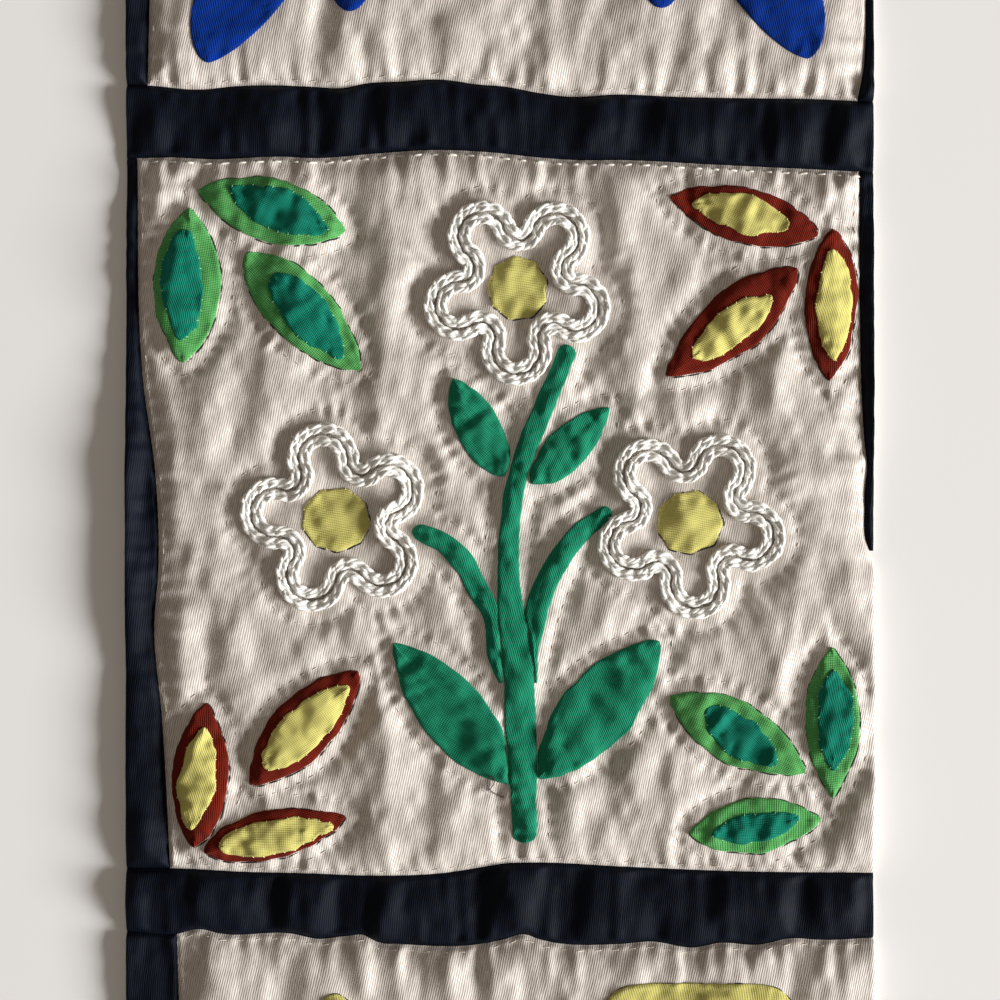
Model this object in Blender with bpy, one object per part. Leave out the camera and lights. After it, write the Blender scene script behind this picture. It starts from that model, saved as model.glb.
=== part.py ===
"""A cut length of a hand-made album quilt: one block with a flower spray, and parts of its neighbours.

The quilt lies flat on its back with its face up. X runs across it, Y up the face and Z out of it, and the
origin is the middle of its underside. Sizes in the tables are millimetres, and MM turns them into metres.
"""

import math

import bmesh
import bpy
import numpy as np

MM = 0.001
FAR = 1e6
WELD = 0.00001

# The cut length. Its block finishes at 203 mm, the 8 inches of a usual quilt block.
WIDTH = 213.2
HEIGHT = 298.4
CUT_RIGHT = WIDTH / 2
CUT_LEFT = -CUT_RIGHT
CUT_TOP = HEIGHT / 2
CUT_BOTTOM = -CUT_TOP

# The quilt's thickness: at a seam, how much more the wadding gives between seams, and how far a seam
# pulls it in.
SEAM_THICKNESS = 2.7
BLOCK_LOFT = 2.2
SASH_LOFT = 1.5
SEAM_REACH = 5.0
SEAM_GAP = 0.3

# The quilting lines that follow each motif: their distance outside it, their depth and how wide they dip.
ECHO_OFFSET = 3.6
ECHO_DEPTH = 0.75
ECHO_REACH = 3.2

# Sewn-on cloth: the gap under a piece, its thickness at the edge and how much more it has in the middle.
LIFT = 0.38
EDGE_THICKNESS = 0.55
CROWN = 0.35
CROWN_ROUND = 0.7
STEM_GAP = 0.35
INNER_GAP = 0.3

# Faces: the panels' and the ribbons' spacing, and the steps along and across the other pieces.
GRID_STEP = 5.0
RIBBON_STEP = 4.6
OUTLINE_STEPS = 55
LEAF_STEPS = (8, 4)
CENTRE_STEPS = (5, 5)
END_STEPS = 6
LEAST_END_STEPS = 3
SHARP_DEGREES = 50

# A leaf's shape: how full its sides are and how far its belly's value moves them.
LEAF_FULLNESS = 0.72
INNER_FULLNESS = 0.58
BELLY_SHIFT = 1.6

# Readings taken along a ribbon and round a flower to find the nearest place, and a short step along a ribbon.
RIBBON_READINGS = 40
FLOWER_READINGS = 100
SHORT_STEP = 0.01

# Rounds in which a panel's places settle between its four sides.
SETTLING_ROUNDS = 8

# Seams that run across, as rows of x and y.
SASH_UPPER_TOP = ((-106.6, 118.0), (-51.0, 117.9), (-18.5, 119.9), (8.8, 116.5), (21.0, 115.4), (50.9, 115.4),
                  (106.6, 113.7))
SASH_UPPER_LOW = ((-106.6, 97.6), (-52.9, 97.8), (-19.9, 100.0), (0.0, 99.0), (18.2, 97.4), (36.9, 97.3),
                  (60.0, 95.9), (106.6, 93.7))
SASH_LOWER_TOP = ((-106.6, -105.3), (-66.8, -106.4), (-20.0, -107.2), (-4.0, -105.6), (6.0, -103.8),
                  (30.4, -104.7), (56.0, -106.2), (106.6, -106.5))
SASH_LOWER_LOW = ((-106.6, -123.2), (-80.0, -124.0), (-51.4, -125.2), (-33.5, -126.4), (-4.0, -126.8),
                  (7.0, -124.2), (20.0, -126.0), (52.3, -128.0), (87.8, -125.2), (106.6, -124.9))

# Seams that run up the face, as rows of y and x.
LEFT_UPPER = ((110.0, -100.9), (149.2, -100.0))
LEFT_MIDDLE = ((-105.0, -94.2), (-62.5, -96.6), (-36.7, -98.8), (-18.2, -97.6), (6.3, -98.4), (34.1, -102.0),
               (98.0, -103.7))
LEFT_LOWER = ((-149.2, -91.6), (-124.0, -92.3))
RIGHT_UPPER = ((113.0, 101.9), (121.9, 103.6), (149.2, 104.6))
RIGHT_MIDDLE = ((-106.0, CUT_RIGHT), (-19.5, CUT_RIGHT), (-15.0, 105.6), (-11.0, 104.4), (-2.8, 104.1),
                (2.0, 104.2), (9.9, 104.9), (15.0, 104.3), (31.3, 103.3), (60.0, 102.8), (88.1, 102.6),
                (94.0, 102.6))
STRIP_END = -14.5
STRIP_FADE = 6.0
NARROWEST_STRIP = 0.5

# The main folds, as rows of two ends (x, y, x, y), half width and height.
FOLDS = (
    (-31.5, 92.0, -33.0, -2.0, 5.4, 0.85),
    (-41.5, 86.0, -41.0, 26.0, 5.4, -0.70),
    (35.0, 90.0, 39.0, 24.0, 5.4, 0.75),
    (25.5, 88.0, 31.0, 10.0, 5.4, -0.65),
    (-31.5, -58.0, -31.5, -102.0, 5.6, 0.90),
    (-44.0, -58.0, -45.0, -98.0, 5.6, -0.75),
    (-11.5, -84.0, -11.5, -102.0, 5.2, 0.60),
    (20.5, -80.0, 20.5, -102.0, 5.2, 0.60),
    (29.5, -66.0, 29.0, -88.0, 5.2, -0.60),
    (39.5, -70.0, 40.0, -92.0, 5.4, 0.45),
    (50.0, -74.0, 50.0, -98.0, 5.6, 0.50),
    (83.0, -31.0, 77.0, -57.0, 5.4, 0.60),
    (-84.0, 42.0, -89.0, 14.0, 5.6, 0.60),
    (-70.0, 40.0, -70.0, 24.0, 8.0, 0.50),
    (-75.5, -28.0, -75.5, -46.0, 5.4, 0.60),
    (-90.0, -32.0, -90.0, -54.0, 5.2, 0.45),
    (77.0, 36.0, 80.0, 22.0, 5.4, 0.55),
    (76.0, 7.0, 98.0, 7.0, 5.2, 0.50),
    (76.0, 17.0, 96.0, 17.0, 5.2, -0.40),
    (90.0, -20.0, 102.0, -18.0, 5.4, -0.40),
    (-62.0, 34.0, -56.0, 90.0, 6.4, 0.45),
    (10.0, 132.0, 7.0, 146.0, 6.0, -0.60),
    (-50.0, 124.0, -48.0, 146.0, 5.6, -0.55),
    (46.0, 122.0, 40.0, 146.0, 6.2, 0.60),
    (-64.0, -132.0, -65.0, -148.0, 5.4, -0.50),
    (-20.0, -132.0, -20.0, -148.0, 5.4, -0.50),
    (94.0, -132.0, 92.0, -148.0, 5.4, -0.50),
    (-70.0, 108.0, -40.0, 108.0, 5.0, 0.30),
    (20.0, 106.0, 60.0, 104.0, 5.0, 0.30),
    (-60.0, -115.0, -20.0, -116.0, 5.0, 0.30),
    (40.0, -117.0, 90.0, -115.0, 5.0, 0.30),
)

# Corner leaves: x and y of the middle, direction in degrees, length, width, and how far the belly sits from
# the middle, with the inner leaf's offset along and across, its turn, length and width.
LEAF_COLUMNS = ("x", "y", "turn", "length", "width", "belly", "along", "across", "inner_turn", "inner_length",
                "inner_width")
CORNER_LEAVES = {
    "upper_left_top": (-65.0, 82.4, -15.5, 43.6, 18.2, -0.05, 2.0, 0.6, -6.0, 30.4, 11.6),
    "upper_left_side": (-89.0, 61.0, -92.0, 44.2, 19.4, 0.02, 0.0, -1.0, 2.0, 30.6, 12.0),
    "upper_left_slant": (-56.0, 53.4, -46.0, 46.4, 18.4, 0.06, 2.0, 0.4, -4.0, 31.0, 12.0),
    "upper_right_top": (69.4, 80.8, 166.0, 43.6, 15.8, 0.05, 0.8, -0.2, 0.0, 28.6, 10.6),
    "upper_right_side": (94.2, 55.4, -91.0, 42.8, 15.8, 0.05, 0.4, 0.8, 1.0, 31.0, 10.6),
    "upper_right_slant": (66.0, 50.4, 220.0, 47.6, 17.6, 0.04, 0.8, 1.0, -3.0, 28.8, 10.6),
    "lower_left_side": (-85.4, -78.4, 86.0, 41.0, 16.8, 0.02, -1.2, 0.6, -6.0, 29.0, 10.4),
    "lower_left_slant": (-55.8, -64.6, 46.0, 44.2, 17.4, 0.02, 0.8, -0.3, -2.0, 33.0, 12.2),
    "lower_left_low": (-64.0, -95.0, 13.0, 41.6, 14.0, 0.10, 0.2, -0.6, -2.0, 32.4, 9.8),
    "lower_right_side": (94.4, -63.2, 91.0, 42.2, 15.2, -0.04, 0.6, -0.6, -2.0, 28.8, 10.0),
    "lower_right_slant": (67.6, -66.4, 151.0, 44.4, 17.4, -0.02, -0.8, 0.6, -10.0, 25.0, 11.2),
    "lower_right_low": (72.6, -92.6, 186.0, 38.4, 15.6, -0.04, 0.2, 0.2, 2.0, 26.0, 8.8),
}

# Leaves of the middle spray, in the same first columns.
SPRAY_LEAVES = {
    "small_leaf_left": (-6.2, 20.4, 118.0, 31.6, 13.4, 0.06),
    "small_leaf_right": (19.9, 15.4, 45.0, 30.6, 12.0, 0.08),
    "base_leaf_left": (-13.6, -60.4, 129.4, 51.6, 18.8, 0.04),
    "base_leaf_right": (28.0, -59.4, 48.6, 51.6, 20.4, 0.02),
}

# Ribbons of the middle spray: rows of x, y and width from the foot to the tip.
RIBBONS = {
    "stem": ((7.0, -97.4, 6.8), (6.4, -74.0, 8.2), (5.2, -50.0, 8.8), (2.4, -16.0, 6.0), (5.4, 8.0, 5.6),
             (12.8, 27.0, 5.6), (19.2, 42.6, 2.8)),
    "branch_left": ((0.4, -52.0, 2.2), (-1.4, -44.0, 4.6), (-2.2, -34.0, 4.8), (-6.6, -24.4, 6.2),
                    (-15.2, -12.8, 5.8), (-24.9, -8.2, 3.4)),
    "branch_right": ((9.8, -52.0, 2.2), (9.0, -42.0, 4.4), (10.6, -31.0, 6.4), (14.8, -20.4, 6.4),
                     (22.0, -10.2, 5.8), (31.4, -2.6, 3.0)),
}

# Flowers: x and y of the middle, direction of one lobe, the yellow centre's half width and half height, and
# how far the outline reaches at its notches.
FLOWERS = {
    "top": (5.0, 60.4, -91.0, 8.7, 9.3, 17.0),
    "left": (-46.6, -5.6, 102.0, 10.0, 9.3, 17.9),
    "right": (53.8, -6.2, -85.0, 9.8, 9.1, 17.7),
}

# A flower's outline: how far its lobes reach, its width and the round of its notches' corners.
LOBES = 5
LOBE_REACH = 28.0
OUTLINE_WIDTH = 7.2
NOTCH_CORNER = 0.6
OUTLINE_WOBBLE = 0.012

# Section of an outline, from its outer edge over its two rows and back underneath: place across and height.
OUTLINE_SECTION = ((1.0, 0.45), (0.52, 1.35), (0.0, 0.95), (-0.52, 1.35), (-1.0, 0.45), (-0.6, 0.0),
                   (0.6, 0.0))

# Ends of sewn-on pieces at the cut edges: x of the tip, y of the tip, x where the cut crosses it, width there
# and how full its tip is.
END_PIECES = {
    "petal_left_large": (-83.0, 124.4, -70.5, 27.5, 0.62),
    "petal_left_small": (-42.6, 138.8, -42.6, 13.0, 0.50),
    "petal_right_small": (45.8, 139.6, 45.8, 12.4, 0.50),
    "petal_right_large": (87.2, 125.4, 76.2, 26.5, 0.62),
    "yellow_piece_small": (-47.0, -140.2, -47.0, 12.6, 0.50),
    "yellow_piece_large": (56.4, -137.4, 56.4, 56.0, 0.14),
}

# Colours as sRGB hex, with roughness.
CLOTHS = {
    "cream_sateen": ("c4b8ad", 0.55),
    "navy_cotton": ("10151d", 0.8),
    "light_green_cotton": ("4c9450", 0.8),
    "teal_green_cotton": ("17664a", 0.8),
    "emerald_cotton": ("22705a", 0.8),
    "brick_red_cotton": ("7a1f14", 0.8),
    "pale_yellow_cotton": ("d0c878", 0.8),
    "royal_blue_cotton": ("123a80", 0.8),
    "white_wool": ("e6e2da", 0.95),
}


def linear(hex_colour):
    """An sRGB hex colour as linear red, green and blue."""
    parts = [int(hex_colour[i:i + 2], 16) / 255 for i in (0, 2, 4)]
    return [p / 12.92 if p <= 0.04045 else ((p + 0.055) / 1.055) ** 2.4 for p in parts]


def cloth_material(name):
    colour, roughness = CLOTHS[name]
    material = bpy.data.materials.get(name) or bpy.data.materials.new(name)
    material.use_nodes = True
    shader = material.node_tree.nodes["Principled BSDF"]
    shader.inputs["Base Color"].default_value = (*linear(colour), 1.0)
    shader.inputs["Roughness"].default_value = roughness
    return material


def curve_through(rows):
    """A function that reads a smooth curve through rows of place and value, held level past its ends."""
    places, values = (np.array(column, float) for column in zip(*rows))
    slopes = np.gradient(values, places)

    def read(place):
        place = np.clip(place, places[0], places[-1])
        i = np.clip(np.searchsorted(places, place) - 1, 0, len(places) - 2)
        span = places[i + 1] - places[i]
        t = (place - places[i]) / span
        start = values[i] * (1 + 2 * t) * (1 - t) ** 2 + slopes[i] * span * t * (1 - t) ** 2
        end = values[i + 1] * t * t * (3 - 2 * t) + slopes[i + 1] * span * t * t * (t - 1)
        return start + end

    return read


SEAMS_ACROSS = [curve_through(rows)
                for rows in (SASH_UPPER_TOP, SASH_UPPER_LOW, SASH_LOWER_TOP, SASH_LOWER_LOW)]
UPPER_TOP, UPPER_LOW, LOWER_TOP, LOWER_LOW = SEAMS_ACROSS
LEFT_SEAMS = [curve_through(rows) for rows in (LEFT_UPPER, LEFT_MIDDLE, LEFT_LOWER)]
RIGHT_SEAMS = [curve_through(rows) for rows in (RIGHT_UPPER, RIGHT_MIDDLE)]


def dip(distance, reach):
    return np.exp(-(distance / reach) ** 2)


def leaf_sides(along, width, belly, fullness):
    """Half width of a leaf at a place along it, from -1 to 1."""
    part = np.clip((1 + along) / 2, 0.0, 1.0) ** (1.0 - BELLY_SHIFT * belly)
    return width / 2 * np.sin(math.pi * part) ** fullness


def leaf_distance(x, y, row):
    """How far a point lies outside a leaf, as the larger of its distances to the arcs of its two sides."""
    along, across = turned(x - row[0], y - row[1], -math.radians(row[2]))
    length, width = row[3], row[4]
    radius = (length ** 2 + width ** 2) / (4 * width)
    return np.hypot(along, np.abs(across) + radius - width / 2) - radius


def turned(x, y, angle):
    return x * math.cos(angle) - y * math.sin(angle), x * math.sin(angle) + y * math.cos(angle)


def ribbon_curves(rows):
    """The middle line and width of a ribbon, read by a place from 0 at its foot to 1 at its tip."""
    points = np.array(rows)
    steps = np.hypot(*np.diff(points[:, :2], axis=0).T)
    places = np.concatenate([[0.0], np.cumsum(steps)]) / steps.sum()
    return [curve_through(list(zip(places, points[:, k]))) for k in range(3)]


def ribbon_distance(x, y, rows):
    places = np.linspace(0, 1, RIBBON_READINGS)
    nearest = np.full(np.shape(x), FAR)
    for px, py, width in zip(*(read(places) for read in ribbon_curves(rows))):
        nearest = np.minimum(nearest, np.hypot(x - px, y - py) - width / 2)
    return nearest


def outline_point(place, across, row):
    """A point of a flower's outline: place runs from 0 to 1 round it, across from -1 inside to 1 outside.

    The middle line is an arc round each lobe and a smaller one round each notch, which meet smoothly.
    """
    half, share = OUTLINE_WIDTH / 2, math.pi / LOBES
    notch, notch_out, tip = half + NOTCH_CORNER, row[5] + NOTCH_CORNER, LOBE_REACH - half
    along_notch = notch_out * math.cos(share)
    lobe = tip ** 2 + notch_out ** 2 - 2 * tip * along_notch - notch ** 2
    lobe /= 2 * (notch + tip - along_notch)
    lobe_out = tip - lobe
    lobe_turn = math.atan2(notch_out * math.sin(share), along_notch - lobe_out)
    notch_turn = lobe_turn - share
    number, part = np.divmod(np.asarray(place) * LOBES, 1.0)
    run = (2 * part - 1) * (lobe * lobe_turn + notch * notch_turn)
    side = np.sign(run)
    angle = np.clip(run / lobe, -lobe_turn, lobe_turn)
    beyond = np.maximum(np.abs(run) - lobe * lobe_turn, 0.0) / notch
    on_notch = beyond > 0
    facing = np.where(on_notch, side * (lobe_turn - beyond), angle)
    reach = np.where(on_notch, half * across - notch, lobe + half * across)
    x = np.where(on_notch, along_notch, lobe_out) + reach * np.cos(facing)
    y = np.where(on_notch, side * notch_out * math.sin(share), 0.0) + reach * np.sin(facing)
    turn = math.radians(row[2]) + number * 2 * share
    wobble = 1 + OUTLINE_WOBBLE * np.sin(2 * turn + np.arctan2(y, x) * 2 + row[0])
    x, y = x * np.cos(turn) - y * np.sin(turn), x * np.sin(turn) + y * np.cos(turn)
    return row[0] + x * wobble, row[1] + y * wobble


def flower_distance(x, y, row):
    places = np.arange(FLOWER_READINGS) / FLOWER_READINGS
    nearest = np.full(np.shape(x), FAR)
    for px, py in zip(*outline_point(places, 0.0, row)):
        nearest = np.minimum(nearest, np.hypot(x - px, y - py))
    return nearest - OUTLINE_WIDTH / 2


def quilting(x, y):
    """Depth of the quilting lines that follow the motifs, at most 1."""
    leaves = [leaf_distance(x, y, row) for row in (*CORNER_LEAVES.values(), *SPRAY_LEAVES.values())]
    ribbons = [ribbon_distance(x, y, rows) for rows in RIBBONS.values()]
    flowers = [flower_distance(x, y, row) for row in FLOWERS.values()]
    nearest = np.minimum.reduce(leaves + ribbons + flowers)
    return dip(nearest - ECHO_OFFSET, ECHO_REACH)


def fold_height(x, y):
    total = np.zeros(np.shape(x))
    for x1, y1, x2, y2, reach, height in FOLDS:
        run = (x2 - x1) ** 2 + (y2 - y1) ** 2
        part = np.clip(((x - x1) * (x2 - x1) + (y - y1) * (y2 - y1)) / run, 0, 1)
        total += height * dip(np.hypot(x - x1 - part * (x2 - x1), y - y1 - part * (y2 - y1)), reach)
    return total


def rise(x, y):
    """Height of the quilt's face over the surface that it lies on."""
    x, y = np.asarray(x, float), np.asarray(y, float)
    seams = [np.abs(y - seam(x)) for seam in SEAMS_ACROSS]
    in_sash = ((y < UPPER_TOP(x)) & (y > UPPER_LOW(x))) | ((y < LOWER_TOP(x)) & (y > LOWER_LOW(x)))
    rows = (y >= UPPER_TOP(x), (y <= UPPER_LOW(x)) & (y >= LOWER_TOP(x)), y <= LOWER_LOW(x))
    for row, left in zip(rows, LEFT_SEAMS):
        seams.append(np.where(row, np.abs(x - left(y)), FAR))
        in_sash |= row & (x < left(y))
    for row, right in zip(rows, RIGHT_SEAMS):
        seams.append(np.where(row & (right(y) < CUT_RIGHT - NARROWEST_STRIP), np.abs(x - right(y)), FAR))
        in_sash |= row & (x > right(y))
    pulled_in = dip(np.minimum.reduce(seams), SEAM_REACH)
    loft = np.where(in_sash, SASH_LOFT, BLOCK_LOFT)
    free = loft + fold_height(x, y) - ECHO_DEPTH * np.where(in_sash, 0.0, quilting(x, y))
    return SEAM_THICKNESS + free * (1 - pulled_in)


def add_piece(name, mesh, material, collection):
    piece = bpy.data.objects.new(name, mesh)
    mesh.materials.append(cloth_material(material))
    mesh.shade_smooth()
    mesh.set_sharp_from_angle(angle=math.radians(SHARP_DEGREES))
    collection.objects.link(piece)
    return piece


def closed_sheet(name, steps, lay_out, heights, material, collection):
    """A solid sheet from a grid.

    lay_out gives x and y for places from 0 to 1, and heights gives its under and upper side.
    """
    shape = bmesh.new()
    bmesh.ops.create_grid(shape, x_segments=steps[0], y_segments=steps[1], size=0.5)
    upper = bmesh.ops.extrude_face_region(shape, geom=shape.faces[:])["geom"]
    bmesh.ops.translate(shape, vec=(0, 0, 1), verts=[v for v in upper if isinstance(v, bmesh.types.BMVert)])
    mesh = bpy.data.meshes.new(name)
    shape.to_mesh(mesh)
    points = np.empty(len(mesh.vertices) * 3)
    mesh.vertices.foreach_get("co", points)
    points = points.reshape(-1, 3)
    x, y = lay_out(points[:, 0] + 0.5, points[:, 1] + 0.5)
    under, over = heights(x, y, points[:, 0] + 0.5, points[:, 1] + 0.5)
    points = np.column_stack([x, y, np.where(points[:, 2] > 0.5, over, under)]) * MM
    mesh.vertices.foreach_set("co", points.ravel())
    shape.clear()
    shape.from_mesh(mesh)
    bmesh.ops.remove_doubles(shape, verts=shape.verts, dist=WELD)
    bmesh.ops.recalc_face_normals(shape, faces=shape.faces)
    shape.to_mesh(mesh)
    shape.free()
    return add_piece(name, mesh, material, collection)


def panel(name, left, right, low, high, material, collection):
    """A flat-backed panel of the quilt between two seams or cut edges that run up and two that run across."""
    middle = np.array(0.5 * (low(0.0) + high(0.0)))
    wide, tall = float(right(middle) - left(middle)), float(high(0.0) - low(0.0))
    steps = (max(1, round(wide / GRID_STEP)), max(1, round(tall / GRID_STEP)))

    def lay_out(s, t):
        x, y = np.zeros_like(s), np.zeros_like(t)
        for _ in range(SETTLING_ROUNDS):
            y = low(x) + t * (high(x) - low(x))
            x = left(y) + s * (right(y) - left(y))
        return x, y

    return closed_sheet(name, steps, lay_out, lambda x, y, s, t: (0.0 * x, rise(x, y)), material, collection)


def shifted(curve, by):
    return lambda place: curve(place) + by


def level(value):
    return lambda place: np.asarray(place) * 0.0 + value


def crowned(part, fullness=1.0):
    """Thickness of sewn-on cloth at a place across it, from 0 at one edge to 1 at the other."""
    return EDGE_THICKNESS + CROWN * fullness * np.abs(np.sin(math.pi * part)) ** CROWN_ROUND


def beside_stem(x, y):
    """x moved sideways out of the stem, as far as the gap beside its edge."""
    rows = RIBBONS["stem"]
    middle = curve_through([(row[1], row[0]) for row in rows])(y)
    clear = curve_through([(row[1], row[2] / 2) for row in rows])(y) + STEM_GAP
    return np.where(x < middle, np.minimum(x, middle - clear), np.maximum(x, middle + clear))


def sewn_leaf(name, row, base, material, collection):
    """A leaf whose underside lies base above the quilt's face."""
    def lay_out(s, t):
        along = -np.cos(math.pi * s)
        fullness = INNER_FULLNESS if name.startswith("inner") else LEAF_FULLNESS
        side = leaf_sides(along, row[4], row[5], fullness)
        x, y = turned(along * row[3] / 2, (2 * t - 1) * side, math.radians(row[2]))
        return (beside_stem(row[0] + x, row[1] + y) if name in SPRAY_LEAVES else row[0] + x), row[1] + y

    def heights(x, y, s, t):
        under = rise(x, y) + base
        return under, under + crowned(t, np.sqrt(np.abs(np.sin(math.pi * s))))

    return closed_sheet(name, LEAF_STEPS, lay_out, heights, material, collection)


def inner_row(row):
    """The row of the leaf that is sewn on a corner leaf."""
    leaf = dict(zip(LEAF_COLUMNS, row))
    dx, dy = turned(leaf["along"], leaf["across"], math.radians(leaf["turn"]))
    return (leaf["x"] + dx, leaf["y"] + dy, leaf["turn"] + leaf["inner_turn"], leaf["inner_length"],
            leaf["inner_width"], leaf["belly"])


def sewn_ribbon(name, rows, collection):
    read_x, read_y, read_width = ribbon_curves(rows)
    length = np.hypot(rows[-1][0] - rows[0][0], rows[-1][1] - rows[0][1])

    def lay_out(s, t):
        ahead = np.clip(s + SHORT_STEP, 0, 1)
        behind = np.clip(s - SHORT_STEP, 0, 1)
        dx, dy = read_x(ahead) - read_x(behind), read_y(ahead) - read_y(behind)
        reach = read_width(s) / 2 / np.hypot(dx, dy)
        sides = [(read_x(s) + dy * side, read_y(s) - dx * side) for side in (reach, -reach)]
        if name != "stem":
            sides = [(beside_stem(x, y), y) for x, y in sides]
        return [start + t * (end - start) for start, end in zip(*sides)]

    def heights(x, y, s, t):
        return rise(x, y) + LIFT, rise(x, y) + LIFT + crowned(t)

    steps = (round(length / RIBBON_STEP), 2)
    return closed_sheet(name, steps, lay_out, heights, "emerald_cotton", collection)


def flower_centre(name, row, collection):
    x0, y0, _, half_wide, half_high, _ = row

    def lay_out(s, t):
        s, t = 2 * s - 1, 2 * t - 1
        return x0 + half_wide * s * np.sqrt(1 - t * t / 2), y0 + half_high * t * np.sqrt(1 - s * s / 2)

    def heights(x, y, s, t):
        part = 1 - np.hypot((x - x0) / half_wide, (y - y0) / half_high) / 2
        return rise(x, y) + LIFT, rise(x, y) + LIFT + crowned(part)

    return closed_sheet(name, CENTRE_STEPS, lay_out, heights, "pale_yellow_cotton", collection)


def flower_outline(name, row, collection):
    """Two rows of chain stitch in wool, as one ring that follows the lobes, reshaped from a torus."""
    bpy.ops.mesh.primitive_torus_add(major_segments=OUTLINE_STEPS, minor_segments=len(OUTLINE_SECTION))
    start = bpy.context.object
    mesh = start.data
    mesh.name = name
    bpy.data.objects.remove(start)
    places = np.repeat(np.arange(OUTLINE_STEPS) / OUTLINE_STEPS, len(OUTLINE_SECTION))
    across, height = np.tile(np.array(OUTLINE_SECTION).T, OUTLINE_STEPS)
    x, y = outline_point(places, across, row)
    mesh.vertices.foreach_set("co", (np.column_stack([x, y, rise(x, y) + LIFT + height]) * MM).ravel())
    return add_piece(name, mesh, "white_wool", collection)


def end_piece(name, row, material, collection):
    """The rounded end of a sewn-on piece, from its tip to the cut edge that crosses it."""
    tip_x, tip_y, cut_x, width, fullness = row
    cut_y = math.copysign(CUT_TOP, tip_y)

    def lay_out(s, t):
        part = 1 - np.cos(math.pi / 2 * s)
        side = width / 2 * np.sin(math.pi / 2 * part) ** fullness
        return tip_x + part * (cut_x - tip_x) + (2 * t - 1) * side, tip_y + part * (cut_y - tip_y)

    def heights(x, y, s, t):
        return rise(x, y) + LIFT, rise(x, y) + LIFT + crowned(t, np.sqrt(s))

    steps = (END_STEPS, max(LEAST_END_STEPS, round(width / GRID_STEP)))
    return closed_sheet(name, steps, lay_out, heights, material, collection)


def build_ground(collection):
    """The cream panels and the navy strips, each half a seam's gap inside its seams."""
    half = SEAM_GAP / 2
    left_cut, right_cut = level(CUT_LEFT), level(CUT_RIGHT)
    top_cut, bottom_cut = level(CUT_TOP), level(CUT_BOTTOM)
    upper, middle, lower = LEFT_SEAMS
    right_upper, right_middle = RIGHT_SEAMS

    def right_of_middle(y):
        """The right seam's panel side, which becomes the cut edge below the strip's end."""
        return np.minimum(right_middle(y) - half * (y > STRIP_END - STRIP_FADE), CUT_RIGHT)

    across = (
        ("upper", shifted(UPPER_TOP, half), top_cut, upper, shifted(right_upper, -half)),
        ("middle", shifted(LOWER_TOP, half), shifted(UPPER_LOW, -half), middle, right_of_middle),
        ("lower", bottom_cut, shifted(LOWER_LOW, -half), lower, right_cut),
    )
    for name, low, high, left, right in across:
        panel(f"ground_{name}", shifted(left, half), right, low, high, "cream_sateen", collection)
        panel(f"sash_left_{name}", left_cut, shifted(left, -half), low, high, "navy_cotton", collection)
    panel("sash_right_upper", shifted(right_upper, half), right_cut, shifted(UPPER_TOP, half), top_cut,
          "navy_cotton", collection)
    panel("sash_right_middle", shifted(right_middle, half), right_cut, level(STRIP_END),
          shifted(UPPER_LOW, -half), "navy_cotton", collection)
    for name, low, high in (("upper", UPPER_LOW, UPPER_TOP), ("lower", LOWER_LOW, LOWER_TOP)):
        panel(f"sash_{name}", left_cut, right_cut, shifted(low, half), shifted(high, -half), "navy_cotton",
              collection)


def build_corner_leaves(collection):
    """Each corner leaf and the leaf sewn on it, green on one diagonal of the block and red on the other."""
    inner_base = LIFT + EDGE_THICKNESS + CROWN + INNER_GAP
    for name, row in CORNER_LEAVES.items():
        green = name.startswith(("upper_left", "lower_right"))
        outer_cloth = "light_green_cotton" if green else "brick_red_cotton"
        inner_cloth = "teal_green_cotton" if green else "pale_yellow_cotton"
        sewn_leaf(f"leaf_{name}", row, LIFT, outer_cloth, collection)
        sewn_leaf(f"inner_leaf_{name}", inner_row(row), inner_base, inner_cloth, collection)


def build_spray(collection):
    for name, row in SPRAY_LEAVES.items():
        sewn_leaf(name, row, LIFT, "emerald_cotton", collection)
    for name, rows in RIBBONS.items():
        sewn_ribbon(name, rows, collection)
    for name, row in FLOWERS.items():
        flower_centre(f"flower_centre_{name}", row, collection)
        flower_outline(f"flower_outline_{name}", row, collection)


def build_end_pieces(collection):
    for name, row in END_PIECES.items():
        cloth = "royal_blue_cotton" if name.startswith("petal") else "pale_yellow_cotton"
        end_piece(name, row, cloth, collection)


def main():
    for old in list(bpy.data.objects):
        bpy.data.objects.remove(old)
    quilt = bpy.data.collections.new("album_quilt")
    bpy.context.scene.collection.children.link(quilt)
    build_ground(quilt)
    build_corner_leaves(quilt)
    build_spray(quilt)
    build_end_pieces(quilt)


main()
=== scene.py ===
"""Looks of a cut length of a hand-made album quilt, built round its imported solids.

X runs across the face, Y up it and Z out of it. The tables and the shape functions hold millimetres, and MM
turns them into metres.
"""

import math

import bmesh
import bpy
import numpy as np
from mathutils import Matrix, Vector


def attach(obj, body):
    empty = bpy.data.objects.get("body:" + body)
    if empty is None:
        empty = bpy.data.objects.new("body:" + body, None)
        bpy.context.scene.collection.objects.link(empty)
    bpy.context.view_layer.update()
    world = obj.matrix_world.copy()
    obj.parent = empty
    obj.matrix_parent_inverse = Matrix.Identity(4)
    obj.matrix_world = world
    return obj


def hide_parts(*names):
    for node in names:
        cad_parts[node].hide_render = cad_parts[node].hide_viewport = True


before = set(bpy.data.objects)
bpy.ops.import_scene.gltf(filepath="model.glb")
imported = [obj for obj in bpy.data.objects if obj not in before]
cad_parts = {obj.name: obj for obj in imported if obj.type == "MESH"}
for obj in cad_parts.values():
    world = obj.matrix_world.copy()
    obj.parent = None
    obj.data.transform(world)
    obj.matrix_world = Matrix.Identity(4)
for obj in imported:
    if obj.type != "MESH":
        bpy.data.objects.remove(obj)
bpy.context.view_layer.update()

MM = 0.001
FAR = 1e3

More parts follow.
